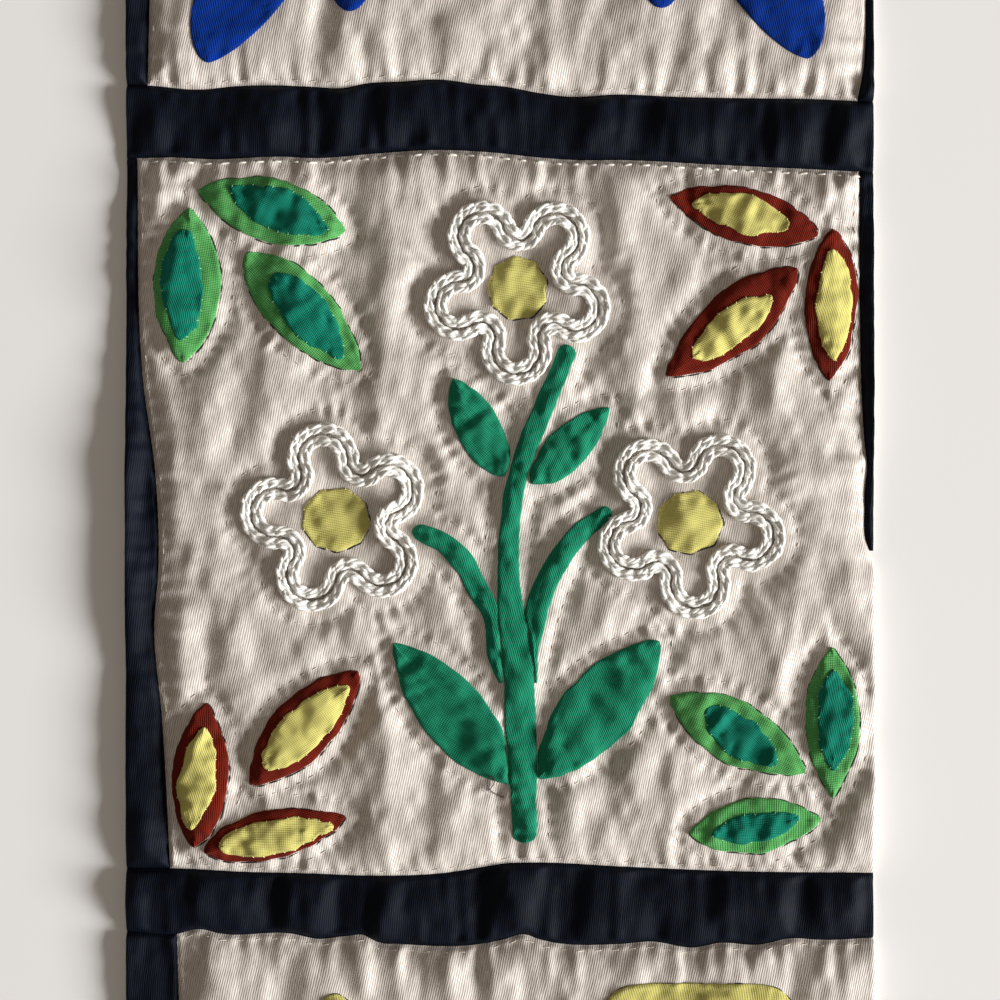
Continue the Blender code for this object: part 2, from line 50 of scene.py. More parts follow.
# The cut length. Its block finishes at 203 mm, the 8 inches of a usual quilt block.
WIDTH = 213.2
HEIGHT = 298.4
CUT_RIGHT = WIDTH / 2
CUT_LEFT = -CUT_RIGHT
CUT_TOP = HEIGHT / 2
CUT_BOTTOM = -CUT_TOP

# The quilt's thickness: at a seam, how much more the wadding gives between seams, how far a seam pulls it in
# and how far it holds the small folds off, and the gap between two panels.
SEAM_THICKNESS = 2.7
BLOCK_LOFT = 2.2
SASH_LOFT = 1.5
SEAM_REACH = 5.0
SEAM_HOLDS = 1.6
SEAM_GAP = 0.12

# The sharp valley of a stitched seam, and the small folds that it gathers the cloth into.
DITCH_DEPTH = 1.0
DITCH_REACH = 0.8
PUCKER_SPACING = 2.8
PUCKER_REACH = 6.5
BLOCK_PUCKER = 1.5
SASH_PUCKER = 1.0

# Waves of the face, as height, length across, length up and seed: those everywhere, and the sashing's own.
WAVES = ((0.85, 7.5, 14.0, 3), (0.32, 3.2, 5.2, 4))
SASH_WAVE = (1.6, 6.5, 26.0, 5)

# The random values that all waves are read from: how many a side, how their grid lies on the face, and the
# row that a line reads.
GRID_SIZE = 128
GRID_TURN = 0.15
GRID_MIDDLE = (60.3, 60.7)
GRID_ROW = 7.3

# How far the wool pulls the face down.
WOOL_SINKS = 0.8
WOOL_SINK_REACH = 3.6

# The small ribs round the motifs: their width and height, and how far out they lie and how wide they fade,
# first at leaves and then at flowers.
LEAF_RIB = 2.0
LEAF_PUCKER = 0.45
LEAF_RIBS_OUT, LEAF_RIBS_FADE = 1.0, 3.2
FLOWER_RIBS_OUT, FLOWER_RIBS_FADE = 3.0, 3.5

# The quilting lines that follow each motif: their distance outside it, their depth and how wide they dip.
ECHO_OFFSET = 3.6
ECHO_DEPTH = 0.75
ECHO_REACH = 3.2

# Quilting stitches: their spacing and length on the face, how far they keep off seams, cut edges and each
# other, and the dimple that each pulls.
QUILTING_PITCH = 3.9
QUILTING_LENGTH = 1.7
OFF_SEAMS = 3.0
OFF_CUTS = 2
STITCHES_APART = 2.4
DIMPLE_DEPTH = 0.50
DIMPLE_REACH = 1.5

# Running stitches along the blocks' edges: how far inside the seam, their spacing and length.
EDGE_INSET = 1.5
EDGE_PITCH = 5.0
EDGE_LENGTH = 2.5

# A panel's cut edge: how far the face drops to it, how wide that drop is and how thick the cloth shows.
CUT_DROP = 0.35
CUT_DROP_REACH = 0.4
CLOTH_AT_CUT = 0.4

# A panel's mesh: the step of its face, its first steps in from a seam and from a cut edge, the length under
# which a side has even steps and their size, how many steps of the face make one of the underside, and the
# angle from which an edge is drawn sharp.
PANEL_STEP = 0.72
SEAM_STEPS = (0, 0.25, 0.55, 0.9, 1.35, 1.9)
CUT_STEPS = (0, 0.3, 0.7)
SHORT_SIDE, SHORT_STEP = 8, 0.5
UNDERSIDE_EVERY = 6
SHARP_ANGLE = 60

# Sewn-on cloth: the gap under it, the height and round of its turned edge, and how much more the middle puffs
# up and how far in.
LIFT = 0.10
TURNED_EDGE = 0.55
EDGE_ROUND = 0.8
PUFF = 0.40
PUFF_REACH = 3.0

# Its ripples: height, on most pieces and in the spray, length of those along the edge and how far in they
# reach, width and length of those that lie across it, and share and size of the finest. THINNEST is how thick
# it stays between them.
RIPPLE = 0.62
SPRAY_RIPPLE = 0.95
EDGE_RIPPLE, EDGE_RIPPLE_REACH = 2.2, 4.5
CROSS_RIPPLE = (3.2, 9.0)
FINE_SHARE, FINE_RIPPLE = 0.45, 2.4
THINNEST = 0.22

# Its edge is cut a little unevenly, in waves of these lengths. Beyond a cut edge its rim is this far off.
RAGGED_LENGTH, RAGGED_FINE = 6.0, 2.1
OPEN_END_FAR = 40

# Slip stitches that hold the turned edge: their spacing, the dimple that each pulls, the share that doesn't
# show, their radius and lean, how far they run from beside the edge to inside it and how high on the way.
SLIP_PITCH = 3.0
SLIP_DEPTH, SLIP_REACH = 0.22, 0.75
SLIP_HIDDEN = 0.35
SLIP_RADIUS = 0.10
SLIP_LEAN = 0.9
SLIP_RUN = (-0.25, 0.4)
SLIP_HEIGHTS = (-0.05, 0.08, 0.12, 0.1, -0.05)

# Ribbons: the gap beside the stem, the round of an end and the direction of their folds in degrees.
STEM_GAP = 0.15
RIBBON_ROUND = 2.5
RIBBON_FOLDS = 58.0

# A curl of loose thread at the left base leaf: place along it, x and y, then its radius, its ends' height and
# how much more its middle rises.
LOOSE_THREAD = ((0.0, 1.2, -84.6), (0.2, -1.6, -83.4), (0.4, -3.6, -80.8), (0.55, -3.0, -78.6),
                (0.7, -1.6, -79.0), (0.85, -2.0, -81.0), (1.0, -3.4, -82.6))
LOOSE_RADIUS, LOOSE_LOW, LOOSE_RISE = 0.13, 0.2, 0.8

# The pen line: its step, its half width with the least and most, how far beside an edge it lies and how much
# that varies, how far all of it is shifted, how deep its middle lies, and how far it keeps off the cut edges.
INK_STEP = 0.55
INK_WIDTH, INK_LEAST, INK_MOST = 0.14, 0.02, 0.25
INK_BESIDE, INK_STRAYS = 0.12, 0.16
INK_SHIFT = (0.18, -0.16)
INK_SUNK = 0.03
INK_OFF_CUTS = 0.4

# Two-ply wool of the flower outlines: the yarn's radius, where its hairs start, that of each ply, how far the
# plies lie from the yarn's middle and how far they twist in a loop.
WOOL_RADIUS = 0.82
PLY_RADIUS = 0.55
PLY_OFFSET = 0.30
PLY_TURNS = 3
PLY_SIDES = 7

# Its hairs: how many for each loop, their radius, least and most length, the same for how far up they point,
# and how far they bend, in radians.
HAIRS_EACH = 30
HAIR_RADIUS = 0.03
HAIR_LENGTHS = (0.25, 1.2)
HAIR_LIFTS = (-0.1, 1.3)
HAIR_BEND = 1.6

# Its chain stitches: loop spacing, length, width and the share of that at a loop's foot, and how high the
# yarn's middle runs along a loop: up out of the cloth, over the loop before and down. Two rows lie in the
# outline, at these places across it, each over a core that closes it below.
CHAIN_PITCH = 4.1
LOOP_LENGTH = 6.2
LOOP_WIDTH = 2.05
LOOP_FOOT = 0.30
LOOP_STEPS = 40
LOOP_HEIGHTS = ((0.0, 0.2), (0.16, 0.85), (0.34, 1.35), (0.6, 0.95), (0.85, 0.72), (1.0, 0.62))
ROWS_ACROSS = (0.50, -0.50)
CORE_HEIGHT = 0.50
CORE_RADIUS = 0.90

# The camera, straight above: its distance and the width that it sees at the face in metres, the face's height
# and the sensor's width in millimetres. Then the floor's half side and how far down it lies, in metres.
CAMERA_DISTANCE = 0.62
FRAME_WIDTH = 0.2842
FACE_HEIGHT = 4.8
SENSOR = 36.0
FLOOR_HALF = 3.0
FLOOR_BELOW = 0.0003

# The lamp: direction round and up in degrees, distance and size in metres, power and colour. Then the fill.
KEY_AZIMUTH = -18.0
KEY_ELEVATION = 18.0
KEY_DISTANCE = 6.0
KEY_SIZE = (3.2, 2.0)
KEY_POWER = 720.0
KEY_COLOUR = (1.0, 0.995, 0.985)
FILL_STRENGTH = 0.20
FILL_COLOUR = (1.0, 0.87, 0.74, 1.0)

# Seams that run across, as rows of x and y.
SASH_UPPER_TOP = (
    (-106.6, 118.5), (-101.2, 118.4), (-85.3, 117.2), (-76.2, 118.1), (-62.5, 118.4), (-53.4, 118.0),
    (-44.3, 117.7), (-38.7, 118.9), (-28.4, 119.5), (-17.0, 120.1), (-5.7, 118.6), (1.1, 118.1),
    (11.4, 116.2), (19.3, 115.2), (34.1, 115.8), (51.2, 115.1), (73.9, 114.7), (90.0, 114.5), (106.6, 113.7))
SASH_UPPER_LOW = (
    (-106.6, 97.6), (-93.2, 97.9), (-83.0, 97.4), (-62.5, 98.1), (-52.9, 97.7), (-35.2, 99.0),
    (-19.9, 100.0), (-1.1, 99.2), (8.0, 98.2), (20.5, 97.2), (36.9, 97.1), (60.0, 95.9), (106.6, 93.7))
SASH_LOWER_TOP = (
    (-106.6, -105.2), (-90.9, -105.3), (-73.9, -106.2), (-58.0, -106.6), (-28.4, -107.3), (-17.1, -106.7),
    (-5.7, -105.0), (1.1, -103.9), (11.4, -103.6), (34.1, -104.7), (68.2, -106.1), (106.6, -106.5))
SASH_LOWER_LOW = (
    (-106.6, -123.2), (-92.1, -123.9), (-86.4, -122.6), (-79.6, -123.9), (-59.1, -123.9), (-52.3, -125.3),
    (-44.3, -124.6), (-38.7, -124.3), (-35.2, -126.2), (-28.4, -126.8), (-5.7, -126.8), (1.1, -125.5),
    (6.8, -124.0), (11.4, -125.5), (34.1, -126.8), (43.2, -126.1), (55.7, -127.8), (62.5, -126.5),
    (73.9, -127.0), (83.0, -125.2), (92.1, -125.6), (106.6, -125.0))

# Seams that run up the face, as rows of y and x.
LEFT_UPPER = ((110.0, -100.9), (149.2, -100.0))
LEFT_MIDDLE = ((-105.0, -94.2), (-62.5, -96.6), (-36.7, -98.8), (-18.2, -97.6), (6.3, -98.4), (34.1, -102.0),
               (98.0, -103.7))
LEFT_LOWER = ((-149.2, -91.6), (-124.0, -92.3))
RIGHT_UPPER = ((113.0, 101.9), (121.9, 103.6), (149.2, 104.6))
RIGHT_MIDDLE = ((-106.0, CUT_RIGHT), (-19.5, CUT_RIGHT), (-15.0, 105.6), (-11.0, 104.4), (-2.8, 104.1),
                (2.0, 104.2), (9.9, 104.9), (15.0, 104.3), (31.3, 103.3), (60.0, 102.8), (88.1, 102.6),
                (94.0, 102.6))
STRIP_END = -14.5
STRIP_FADE = 6.0

# How full a leaf is towards its ends: less makes it fuller.
LEAF_FULLNESS = 0.72
INNER_FULLNESS = 0.58

# The main folds, as rows of two ends (x, y, x, y), half width and height.
FOLDS = (
    (-31.5, 92.0, -33.0, -2.0, 5.4, 0.85),
    (-41.5, 86.0, -41.0, 26.0, 5.4, -0.70),
    (35.0, 90.0, 39.0, 24.0, 5.4, 0.75),
    (25.5, 88.0, 31.0, 10.0, 5.4, -0.65),
    (-31.5, -58.0, -31.5, -102.0, 5.6, 0.90),
    (-44.0, -58.0, -45.0, -98.0, 5.6, -0.75),
    (-11.5, -84.0, -11.5, -102.0, 5.2, 0.60),
    (20.5, -80.0, 20.5, -102.0, 5.2, 0.60),
    (29.5, -66.0, 29.0, -88.0, 5.2, -0.60),
    (39.5, -70.0, 40.0, -92.0, 5.4, 0.45),
    (50.0, -74.0, 50.0, -98.0, 5.6, 0.50),
    (83.0, -31.0, 77.0, -57.0, 5.4, 0.60),
    (-84.0, 42.0, -89.0, 14.0, 5.6, 0.60),
    (-70.0, 40.0, -70.0, 24.0, 8.0, 0.50),
    (-75.5, -28.0, -75.5, -46.0, 5.4, 0.60),
    (-90.0, -32.0, -90.0, -54.0, 5.2, 0.45),
    (77.0, 36.0, 80.0, 22.0, 5.4, 0.55),
    (76.0, 7.0, 98.0, 7.0, 5.2, 0.50),
    (76.0, 17.0, 96.0, 17.0, 5.2, -0.40),
    (90.0, -20.0, 102.0, -18.0, 5.4, -0.40),
    (-62.0, 34.0, -56.0, 90.0, 6.4, 0.45),
    (10.0, 132.0, 7.0, 146.0, 6.0, -0.60),
    (-50.0, 124.0, -48.0, 146.0, 5.6, -0.55),
    (46.0, 122.0, 40.0, 146.0, 6.2, 0.60),
    (-64.0, -132.0, -65.0, -148.0, 5.4, -0.50),
    (-20.0, -132.0, -20.0, -148.0, 5.4, -0.50),
    (94.0, -132.0, 92.0, -148.0, 5.4, -0.50),
    (-70.0, 108.0, -40.0, 108.0, 5.0, 0.30),
    (20.0, 106.0, 60.0, 104.0, 5.0, 0.30),
    (-60.0, -115.0, -20.0, -116.0, 5.0, 0.30),
    (40.0, -117.0, 90.0, -115.0, 5.0, 0.30),
)

# Narrower folds that the solids leave out, in the same columns.
SMALL_FOLDS = (
    (-45.0, 94.0, -42.5, 76.0, 3.4, -0.7),
    (-35.5, 76.0, -36.0, 66.0, 3.6, -0.5),
    (-24.0, 97.0, -21.5, 84.0, 3.2, 0.5),
    (-51.0, 98.0, -48.5, 88.0, 2.4, -0.5),
    (-54.5, 98.0, -53.5, 90.0, 2.6, 0.5),
    (14.5, 96.0, 16.5, 90.0, 2.4, -0.5),
    (20.0, 96.0, 19.5, 90.0, 2.6, 0.4),
    (29.5, 90.0, 28.5, 74.0, 3.0, -0.3),
    (33.5, 92.0, 33.0, 70.0, 3.0, 0.3),
    (45.0, 36.0, 44.0, 23.0, 2.8, -0.6),
    (49.5, 34.0, 49.5, 24.0, 2.8, 0.5),
    (66.0, 42.0, 63.5, 26.0, 3.4, -0.5),
    (75.0, 44.0, 77.5, 28.0, 3.6, 0.6),
    (-92.5, 40.0, -92.0, 30.0, 3.0, -0.4),
    (-97.5, 26.0, -95.5, 14.0, 3.0, -0.4),
    (-93.0, 12.0, -92.0, -6.0, 3.0, 0.5),
    (-101.0, -14.0, -91.0, -15.0, 2.6, -0.7),
    (-97.0, -21.0, -90.0, -20.0, 2.6, 0.5),
    (-98.0, -29.0, -86.0, -27.0, 2.8, -0.6),
    (-82.0, -29.0, -82.5, -46.0, 2.8, -0.6),
    (-89.5, -30.0, -89.5, -54.0, 3.2, 0.4),
    (-97.5, -38.0, -97.0, -52.0, 2.6, -0.5),
    (-51.0, -33.0, -39.0, -36.0, 2.8, -0.4),
    (-44.0, -60.0, -46.5, -100.0, 3.2, -0.4),
    (-33.0, -62.0, -33.0, -100.0, 3.4, 0.4),
    (-20.5, -82.0, -21.5, -98.0, 3.2, -0.5),
    (-12.5, -86.0, -12.0, -102.0, 3.0, 0.4),
    (-3.5, -88.0, -1.0, -103.0, 3.0, 0.3),
    (14.0, -80.0, 14.0, -103.0, 2.6, -0.5),
    (20.5, -78.0, 20.5, -102.0, 2.8, 0.4),
    (29.5, -66.0, 31.0, -88.0, 3.0, -0.5),
    (37.5, -66.0, 37.5, -90.0, 3.2, 0.4),
    (47.0, -50.0, 42.0, -60.0, 2.2, 0.4),
    (57.5, -78.0, 60.0, -92.0, 3.0, -0.4),
    (48.5, -74.0, 50.0, -96.0, 3.4, 0.5),
    (66.0, -38.0, 67.0, -48.0, 2.8, -0.3),
    (87.5, -30.0, 81.0, -60.0, 2.8, -0.5),
    (84.0, -30.0, 78.0, -56.0, 2.6, 0.3),
    (57.0, -33.5, 71.0, -33.5, 2.8, -0.5),
    (74.0, -28.0, 83.0, -29.0, 2.8, -0.5),
    (91.5, -84.0, 92.0, -103.0, 2.8, -0.6),
    (100.5, -82.0, 99.0, -103.0, 3.0, 0.6),
    (100.0, -50.0, 103.0, -74.0, 2.6, 0.5),
    (72.0, 14.0, 96.0, 14.5, 3.0, -0.4),
    (78.0, 7.0, 100.0, 6.0, 3.4, 0.4),
    (103.0, 20.0, 101.0, -2.0, 2.8, 0.4),
    (-73.0, -58.0, -72.5, -74.0, 2.4, -0.4),
    (-76.5, -58.0, -76.5, -86.0, 2.4, 0.4),
    (-91.0, 94.0, -98.0, 84.0, 3.4, 0.6),
    (-68.0, 98.0, -67.0, 93.0, 2.0, -0.5),
    (-82.0, 66.0, -76.0, 52.0, 2.6, -0.4),
    (22.0, -24.0, 18.0, -40.0, 2.8, -0.4),
    (24.0, -44.0, 34.0, -26.0, 3.4, 0.4),
    (3.0, 122.0, 4.0, 142.0, 3.2, -0.6),
    (12.0, 122.0, 14.5, 142.0, 3.4, 0.7),
    (20.5, 120.0, 29.0, 142.0, 3.4, -0.7),
    (33.0, 122.0, 35.0, 142.0, 3.6, 0.4),
    (48.5, 118.0, 50.0, 142.0, 3.0, -0.6),
    (54.5, 118.0, 58.0, 140.0, 3.4, 0.6),
    (-51.5, 120.0, -51.5, 140.0, 2.8, -0.6),
    (-46.0, 122.0, -44.0, 134.0, 3.0, 0.5),
    (-39.5, 120.0, -39.0, 130.0, 2.4, -0.6),
    (-34.5, 122.0, -34.0, 132.0, 2.8, 0.5),
    (-6.5, 120.0, -3.0, 130.0, 2.6, -0.5),
    (-14.0, 124.0, -9.0, 140.0, 4.0, 0.4),
    (88.0, 116.0, 90.0, 124.0, 3.0, -0.4),
    (-87.0, -126.0, -87.5, -138.0, 2.6, -0.5),
    (-81.0, -128.0, -80.5, -138.0, 3.0, 0.5),
    (-65.5, -127.0, -66.0, -134.0, 2.4, -0.4),
    (-44.0, -127.0, -43.5, -140.0, 2.4, -0.5),
    (-40.5, -126.0, -39.0, -138.0, 2.4, 0.6),
    (-36.0, -128.0, -35.0, -140.0, 2.6, -0.5),
    (-29.0, -129.0, -28.5, -142.0, 3.0, 0.5),
    (-23.5, -128.0, -24.0, -142.0, 2.6, -0.5),
    (-14.5, -129.0, -13.0, -142.0, 3.4, 0.6),
    (-6.0, -128.0, -6.0, -142.0, 2.8, -0.4),
    (-1.5, -127.0, -1.5, -140.0, 2.6, 0.4),
    (7.2, -127.0, 7.8, -142.0, 2.8, -0.7),
    (18.0, -128.0, 18.5, -142.0, 3.6, 0.6),
    (30.5, -128.0, 31.0, -138.0, 2.4, -0.4),
    (83.0, -127.0, 83.5, -140.0, 2.6, -0.5),
    (91.5, -127.0, 92.0, -142.0, 3.0, 0.5),
)

# Corner leaves: x and y of the middle, direction in degrees, length, width, and how far the belly sits from
# the middle, with the inner leaf's offset along and across, its turn, length and width.
LEAF_COLUMNS = ("x", "y", "turn", "length", "width", "belly", "along", "across", "inner_turn", "inner_length",
                "inner_width")
CORNER_LEAVES = {
    "upper_left_top": (-65.0, 82.4, -15.5, 43.6, 18.2, -0.05, 2.0, 0.6, -6.0, 30.4, 11.6),
    "upper_left_side": (-89.0, 61.0, -92.0, 44.2, 19.4, 0.02, 0.0, -1.0, 2.0, 30.6, 12.0),
    "upper_left_slant": (-56.0, 53.4, -46.0, 46.4, 18.4, 0.06, 2.0, 0.4, -4.0, 31.0, 12.0),
    "upper_right_top": (69.4, 80.8, 166.0, 43.6, 15.8, 0.05, 0.8, -0.2, 0.0, 28.6, 10.6),
    "upper_right_side": (94.2, 55.4, -91.0, 42.8, 15.8, 0.05, 0.4, 0.8, 1.0, 31.0, 10.6),
    "upper_right_slant": (66.0, 50.4, 220.0, 47.6, 17.6, 0.04, 0.8, 1.0, -3.0, 28.8, 10.6),
    "lower_left_side": (-85.4, -78.4, 86.0, 41.0, 16.8, 0.02, -1.2, 0.6, -6.0, 29.0, 10.4),
    "lower_left_slant": (-55.8, -64.6, 46.0, 44.2, 17.4, 0.02, 0.8, -0.3, -2.0, 33.0, 12.2),
    "lower_left_low": (-64.0, -95.0, 13.0, 41.6, 14.0, 0.10, 0.2, -0.6, -2.0, 32.4, 9.8),
    "lower_right_side": (94.4, -63.2, 91.0, 42.2, 15.2, -0.04, 0.6, -0.6, -2.0, 28.8, 10.0),
    "lower_right_slant": (67.6, -66.4, 151.0, 44.4, 17.4, -0.02, -0.8, 0.6, -10.0, 25.0, 11.2),
    "lower_right_low": (72.6, -92.6, 186.0, 38.4, 15.6, -0.04, 0.2, 0.2, 2.0, 26.0, 8.8),
}

# Leaves of the middle spray, in the same first columns.
SPRAY_LEAVES = {
    "small_leaf_left": (-6.2, 20.4, 118.0, 31.6, 13.4, 0.06),
    "small_leaf_right": (19.9, 15.4, 45.0, 30.6, 12.0, 0.08),
    "base_leaf_left": (-13.6, -60.4, 129.4, 51.6, 18.8, 0.04),
    "base_leaf_right": (28.0, -59.4, 48.6, 51.6, 20.4, 0.02),
}

# Ribbons of the middle spray: rows of x, y and width from the foot to the tip.
RIBBONS = {
    "stem": ((7.0, -97.4, 6.8), (6.4, -74.0, 8.2), (5.2, -50.0, 8.8), (2.4, -16.0, 6.0), (5.4, 8.0, 5.6),
             (12.8, 27.0, 5.6), (19.8, 44.0, 5.0)),
    "branch_left": ((0.4, -52.0, 1.6), (-1.4, -44.0, 4.6), (-2.2, -34.0, 4.8), (-6.6, -24.4, 6.2),
                    (-15.2, -12.8, 5.8), (-24.9, -8.2, 4.6)),
    "branch_right": ((9.8, -52.0, 1.6), (9.0, -42.0, 4.4), (10.6, -31.0, 6.4), (14.8, -20.4, 6.4),
                     (22.0, -10.2, 5.8), (31.4, -2.6, 4.4)),
}

# Flowers: x and y of the middle, direction of one lobe, the yellow centre's half width and half height, and
# how far the outline reaches at its notches.
FLOWERS = {
    "top": (5.0, 60.4, -91.0, 8.7, 9.3, 17.0),
    "left": (-46.6, -5.6, 102.0, 10.0, 9.3, 17.9),
    "right": (53.8, -6.2, -85.0, 9.8, 9.1, 17.7),
}

# A flower's outline: how far its lobes reach, its width and the round of its notches' corners.
LOBES = 5
LOBE_REACH = 28.0
OUTLINE_WIDTH = 7.2
NOTCH_CORNER = 0.6
OUTLINE_WOBBLE = 0.012

# Ends of sewn-on pieces at the cut edges: x of the tip, y of the tip, x where the cut crosses it, width there
# and how full its tip is.
END_PIECES = {
    "petal_left_large": (-83.0, 124.4, -70.5, 27.5, 0.62),
    "petal_left_small": (-42.6, 138.8, -42.6, 13.0, 0.50),
    "petal_right_small": (45.8, 139.6, 45.8, 12.4, 0.50),
    "petal_right_large": (87.2, 125.4, 76.2, 26.5, 0.62),
    "yellow_piece_small": (-47.0, -140.2, -47.0, 12.6, 0.50),
    "yellow_piece_large": (56.4, -137.4, 56.4, 56.0, 0.14),
}


# Shapes that the solids share.

def curve_through(rows):
    """A function that reads a smooth curve through rows of place and value, held level past its ends."""
    places, values = (np.array(column, float) for column in zip(*rows))
    slopes = np.gradient(values, places)

    def read(place):
        place = np.clip(place, places[0], places[-1])
        i = np.clip(np.searchsorted(places, place) - 1, 0, len(places) - 2)
        span = places[i + 1] - places[i]
        t = (place - places[i]) / span
        start = values[i] * (1 + 2 * t) * (1 - t) ** 2 + slopes[i] * span * t * (1 - t) ** 2
        end = values[i + 1] * t * t * (3 - 2 * t) + slopes[i + 1] * span * t * t * (t - 1)
        return start + end

    return read


SEAMS_ACROSS = [curve_through(rows)
                for rows in (SASH_UPPER_TOP, SASH_UPPER_LOW, SASH_LOWER_TOP, SASH_LOWER_LOW)]
UPPER_TOP, UPPER_LOW, LOWER_TOP, LOWER_LOW = SEAMS_ACROSS
LEFT_SEAMS = [curve_through(rows) for rows in (LEFT_UPPER, LEFT_MIDDLE, LEFT_LOWER)]
RIGHT_SEAMS = [curve_through(rows) for rows in (RIGHT_UPPER, RIGHT_MIDDLE)]


def dip(distance, reach):
    return np.exp(-(distance / reach) ** 2)


def turned(x, y, angle):
    return x * math.cos(angle) - y * math.sin(angle), x * math.sin(angle) + y * math.cos(angle)


def leaf_sides(along, width, belly, fullness):
    """Half width of a leaf at a place along it, from -1 to 1."""
    part = np.clip((1 + along) / 2, 0.0, 1.0) ** (1.0 - 1.6 * belly)
    return width / 2 * np.sin(math.pi * part) ** fullness


def leaf_distance(x, y, row):
    """How far a point lies outside a leaf, as the larger of its distances to the arcs of its two sides."""
    along, across = turned(x - row[0], y - row[1], -math.radians(row[2]))
    length, width = row[3], row[4]
    radius = (length ** 2 + width ** 2) / (4 * width)
    return np.hypot(along, np.abs(across) + radius - width / 2) - radius


def ribbon_curves(rows):
    """The middle line and width of a ribbon, read by a place from 0 at its foot to 1 at its tip."""
    points = np.array(rows)
    steps = np.hypot(*np.diff(points[:, :2], axis=0).T)
    places = np.concatenate([[0.0], np.cumsum(steps)]) / steps.sum()
    return [curve_through(list(zip(places, points[:, k]))) for k in range(3)]


def ribbon_distance(x, y, rows):
    places = np.linspace(0, 1, 40)
    nearest = np.full(np.shape(x), 1e6)
    for px, py, width in zip(*(read(places) for read in ribbon_curves(rows))):
        nearest = np.minimum(nearest, np.hypot(x - px, y - py) - width / 2)
    return nearest


def outline_point(place, across, row):
    """A point of a flower's outline: place runs from 0 to 1 round it, across from -1 inside to 1 outside.

    The middle line is an arc round each lobe and a smaller one round each notch's corner, and they meet.
    """
    half, share = OUTLINE_WIDTH / 2, math.pi / LOBES
    notch, notch_out, tip = half + NOTCH_CORNER, row[5] + NOTCH_CORNER, LOBE_REACH - half
    along_notch = notch_out * math.cos(share)
    lobe = tip ** 2 + notch_out ** 2 - 2 * tip * along_notch - notch ** 2
    lobe /= 2 * (notch + tip - along_notch)
    lobe_out = tip - lobe
    lobe_turn = math.atan2(notch_out * math.sin(share), along_notch - lobe_out)
    notch_turn = lobe_turn - share
    number, part = np.divmod(np.asarray(place) * LOBES, 1.0)
    run = (2 * part - 1) * (lobe * lobe_turn + notch * notch_turn)
    side = np.sign(run)
    angle = np.clip(run / lobe, -lobe_turn, lobe_turn)
    beyond = np.maximum(np.abs(run) - lobe * lobe_turn, 0.0) / notch
    on_notch = beyond > 0
    facing = np.where(on_notch, side * (lobe_turn - beyond), angle)
    reach = np.where(on_notch, half * across - notch, lobe + half * across)
    x = np.where(on_notch, along_notch, lobe_out) + reach * np.cos(facing)
    y = np.where(on_notch, side * notch_out * math.sin(share), 0.0) + reach * np.sin(facing)
    turn = math.radians(row[2]) + number * 2 * share
    wobble = 1 + OUTLINE_WOBBLE * np.sin(2 * turn + np.arctan2(y, x) * 2 + row[0])
    x, y = x * np.cos(turn) - y * np.sin(turn), x * np.sin(turn) + y * np.cos(turn)
    return row[0] + x * wobble, row[1] + y * wobble


def flower_distance(x, y, row):
    nearest = np.full(np.shape(x), 1e6)
    for px, py in zip(*outline_point(np.arange(0, 1, 0.01), 0.0, row)):
        nearest = np.minimum(nearest, np.hypot(x - px, y - py))
    return nearest - OUTLINE_WIDTH / 2


def motif_distance(x, y, flowers=None):
    """How far a point lies outside the nearest leaf, ribbon or flower outline."""
    leaves = [leaf_distance(x, y, row) for row in (*CORNER_LEAVES.values(), *SPRAY_LEAVES.values())]
    ribbons = [ribbon_distance(x, y, rows) for rows in RIBBONS.values()]
    return np.minimum.reduce(leaves + ribbons + [outline_distance(x, y) if flowers is None else flowers])


def outline_distance(x, y):
    return np.minimum.reduce([flower_distance(x, y, row) for row in FLOWERS.values()])


def fold_height(x, y, folds):
    total = np.zeros(np.shape(x))
    for x1, y1, x2, y2, reach, height in folds:
        run = (x2 - x1) ** 2 + (y2 - y1) ** 2
        part = np.clip(((x - x1) * (x2 - x1) + (y - y1) * (y2 - y1)) / run, 0, 1)
        total += height * dip(np.hypot(x - x1 - part * (x2 - x1), y - y1 - part * (y2 - y1)), reach)
    return total


# The quilt's face.

def uneven(x, y, across, up, seed):
    """Smooth random values from -1 to 1 over the face, changing over the given lengths."""
    values = np.random.default_rng(seed).uniform(-1, 1, (GRID_SIZE, GRID_SIZE))
    u, v = turned(np.asarray(x, float), np.asarray(y, float), GRID_TURN)
    u, v = u / across + GRID_MIDDLE[0], v / up + GRID_MIDDLE[1]
    i, j = np.floor(u).astype(int), np.floor(v).astype(int)
    s, t = u - i, v - j
    s, t = s * s * (3 - 2 * s), t * t * (3 - 2 * t)
    i, j, k, n = i % GRID_SIZE, j % GRID_SIZE, (i + 1) % GRID_SIZE, (j + 1) % GRID_SIZE
    return (values[i, j] * (1 - s) * (1 - t) + values[k, j] * s * (1 - t)
            + values[i, n] * (1 - s) * t + values[k, n] * s * t)


def wave(x, y, height, across, up, seed):
    return height * uneven(x, y, across, up, seed)


def wander(place, spacing, seed):
    """Smooth random values from -1 to 1 along a line."""
    return uneven(place, np.zeros(np.shape(place)) + GRID_ROW * spacing, spacing, spacing, seed)


def rows_of_blocks(x, y):
    return y >= UPPER_TOP(x), (y <= UPPER_LOW(x)) & (y >= LOWER_TOP(x)), y <= LOWER_LOW(x)


def seams_near(x, y):
    """For each seam, how far a point lies beyond it and its place along it; far off where the seam isn't."""
    near = [(y - seam(x), x) for seam in SEAMS_ACROSS]
    rows = rows_of_blocks(x, y)
    for row, left in zip(rows, LEFT_SEAMS):
        near.append((np.where(row, x - left(y), FAR), y))
    for row, right, end in zip(rows, RIGHT_SEAMS, (CUT_BOTTOM, STRIP_END - 3.0)):
        past = -np.hypot(x - CUT_RIGHT, y - end)
        near.append((np.where(row, np.where(y > end, x - right(y), past), FAR), y))
    return near


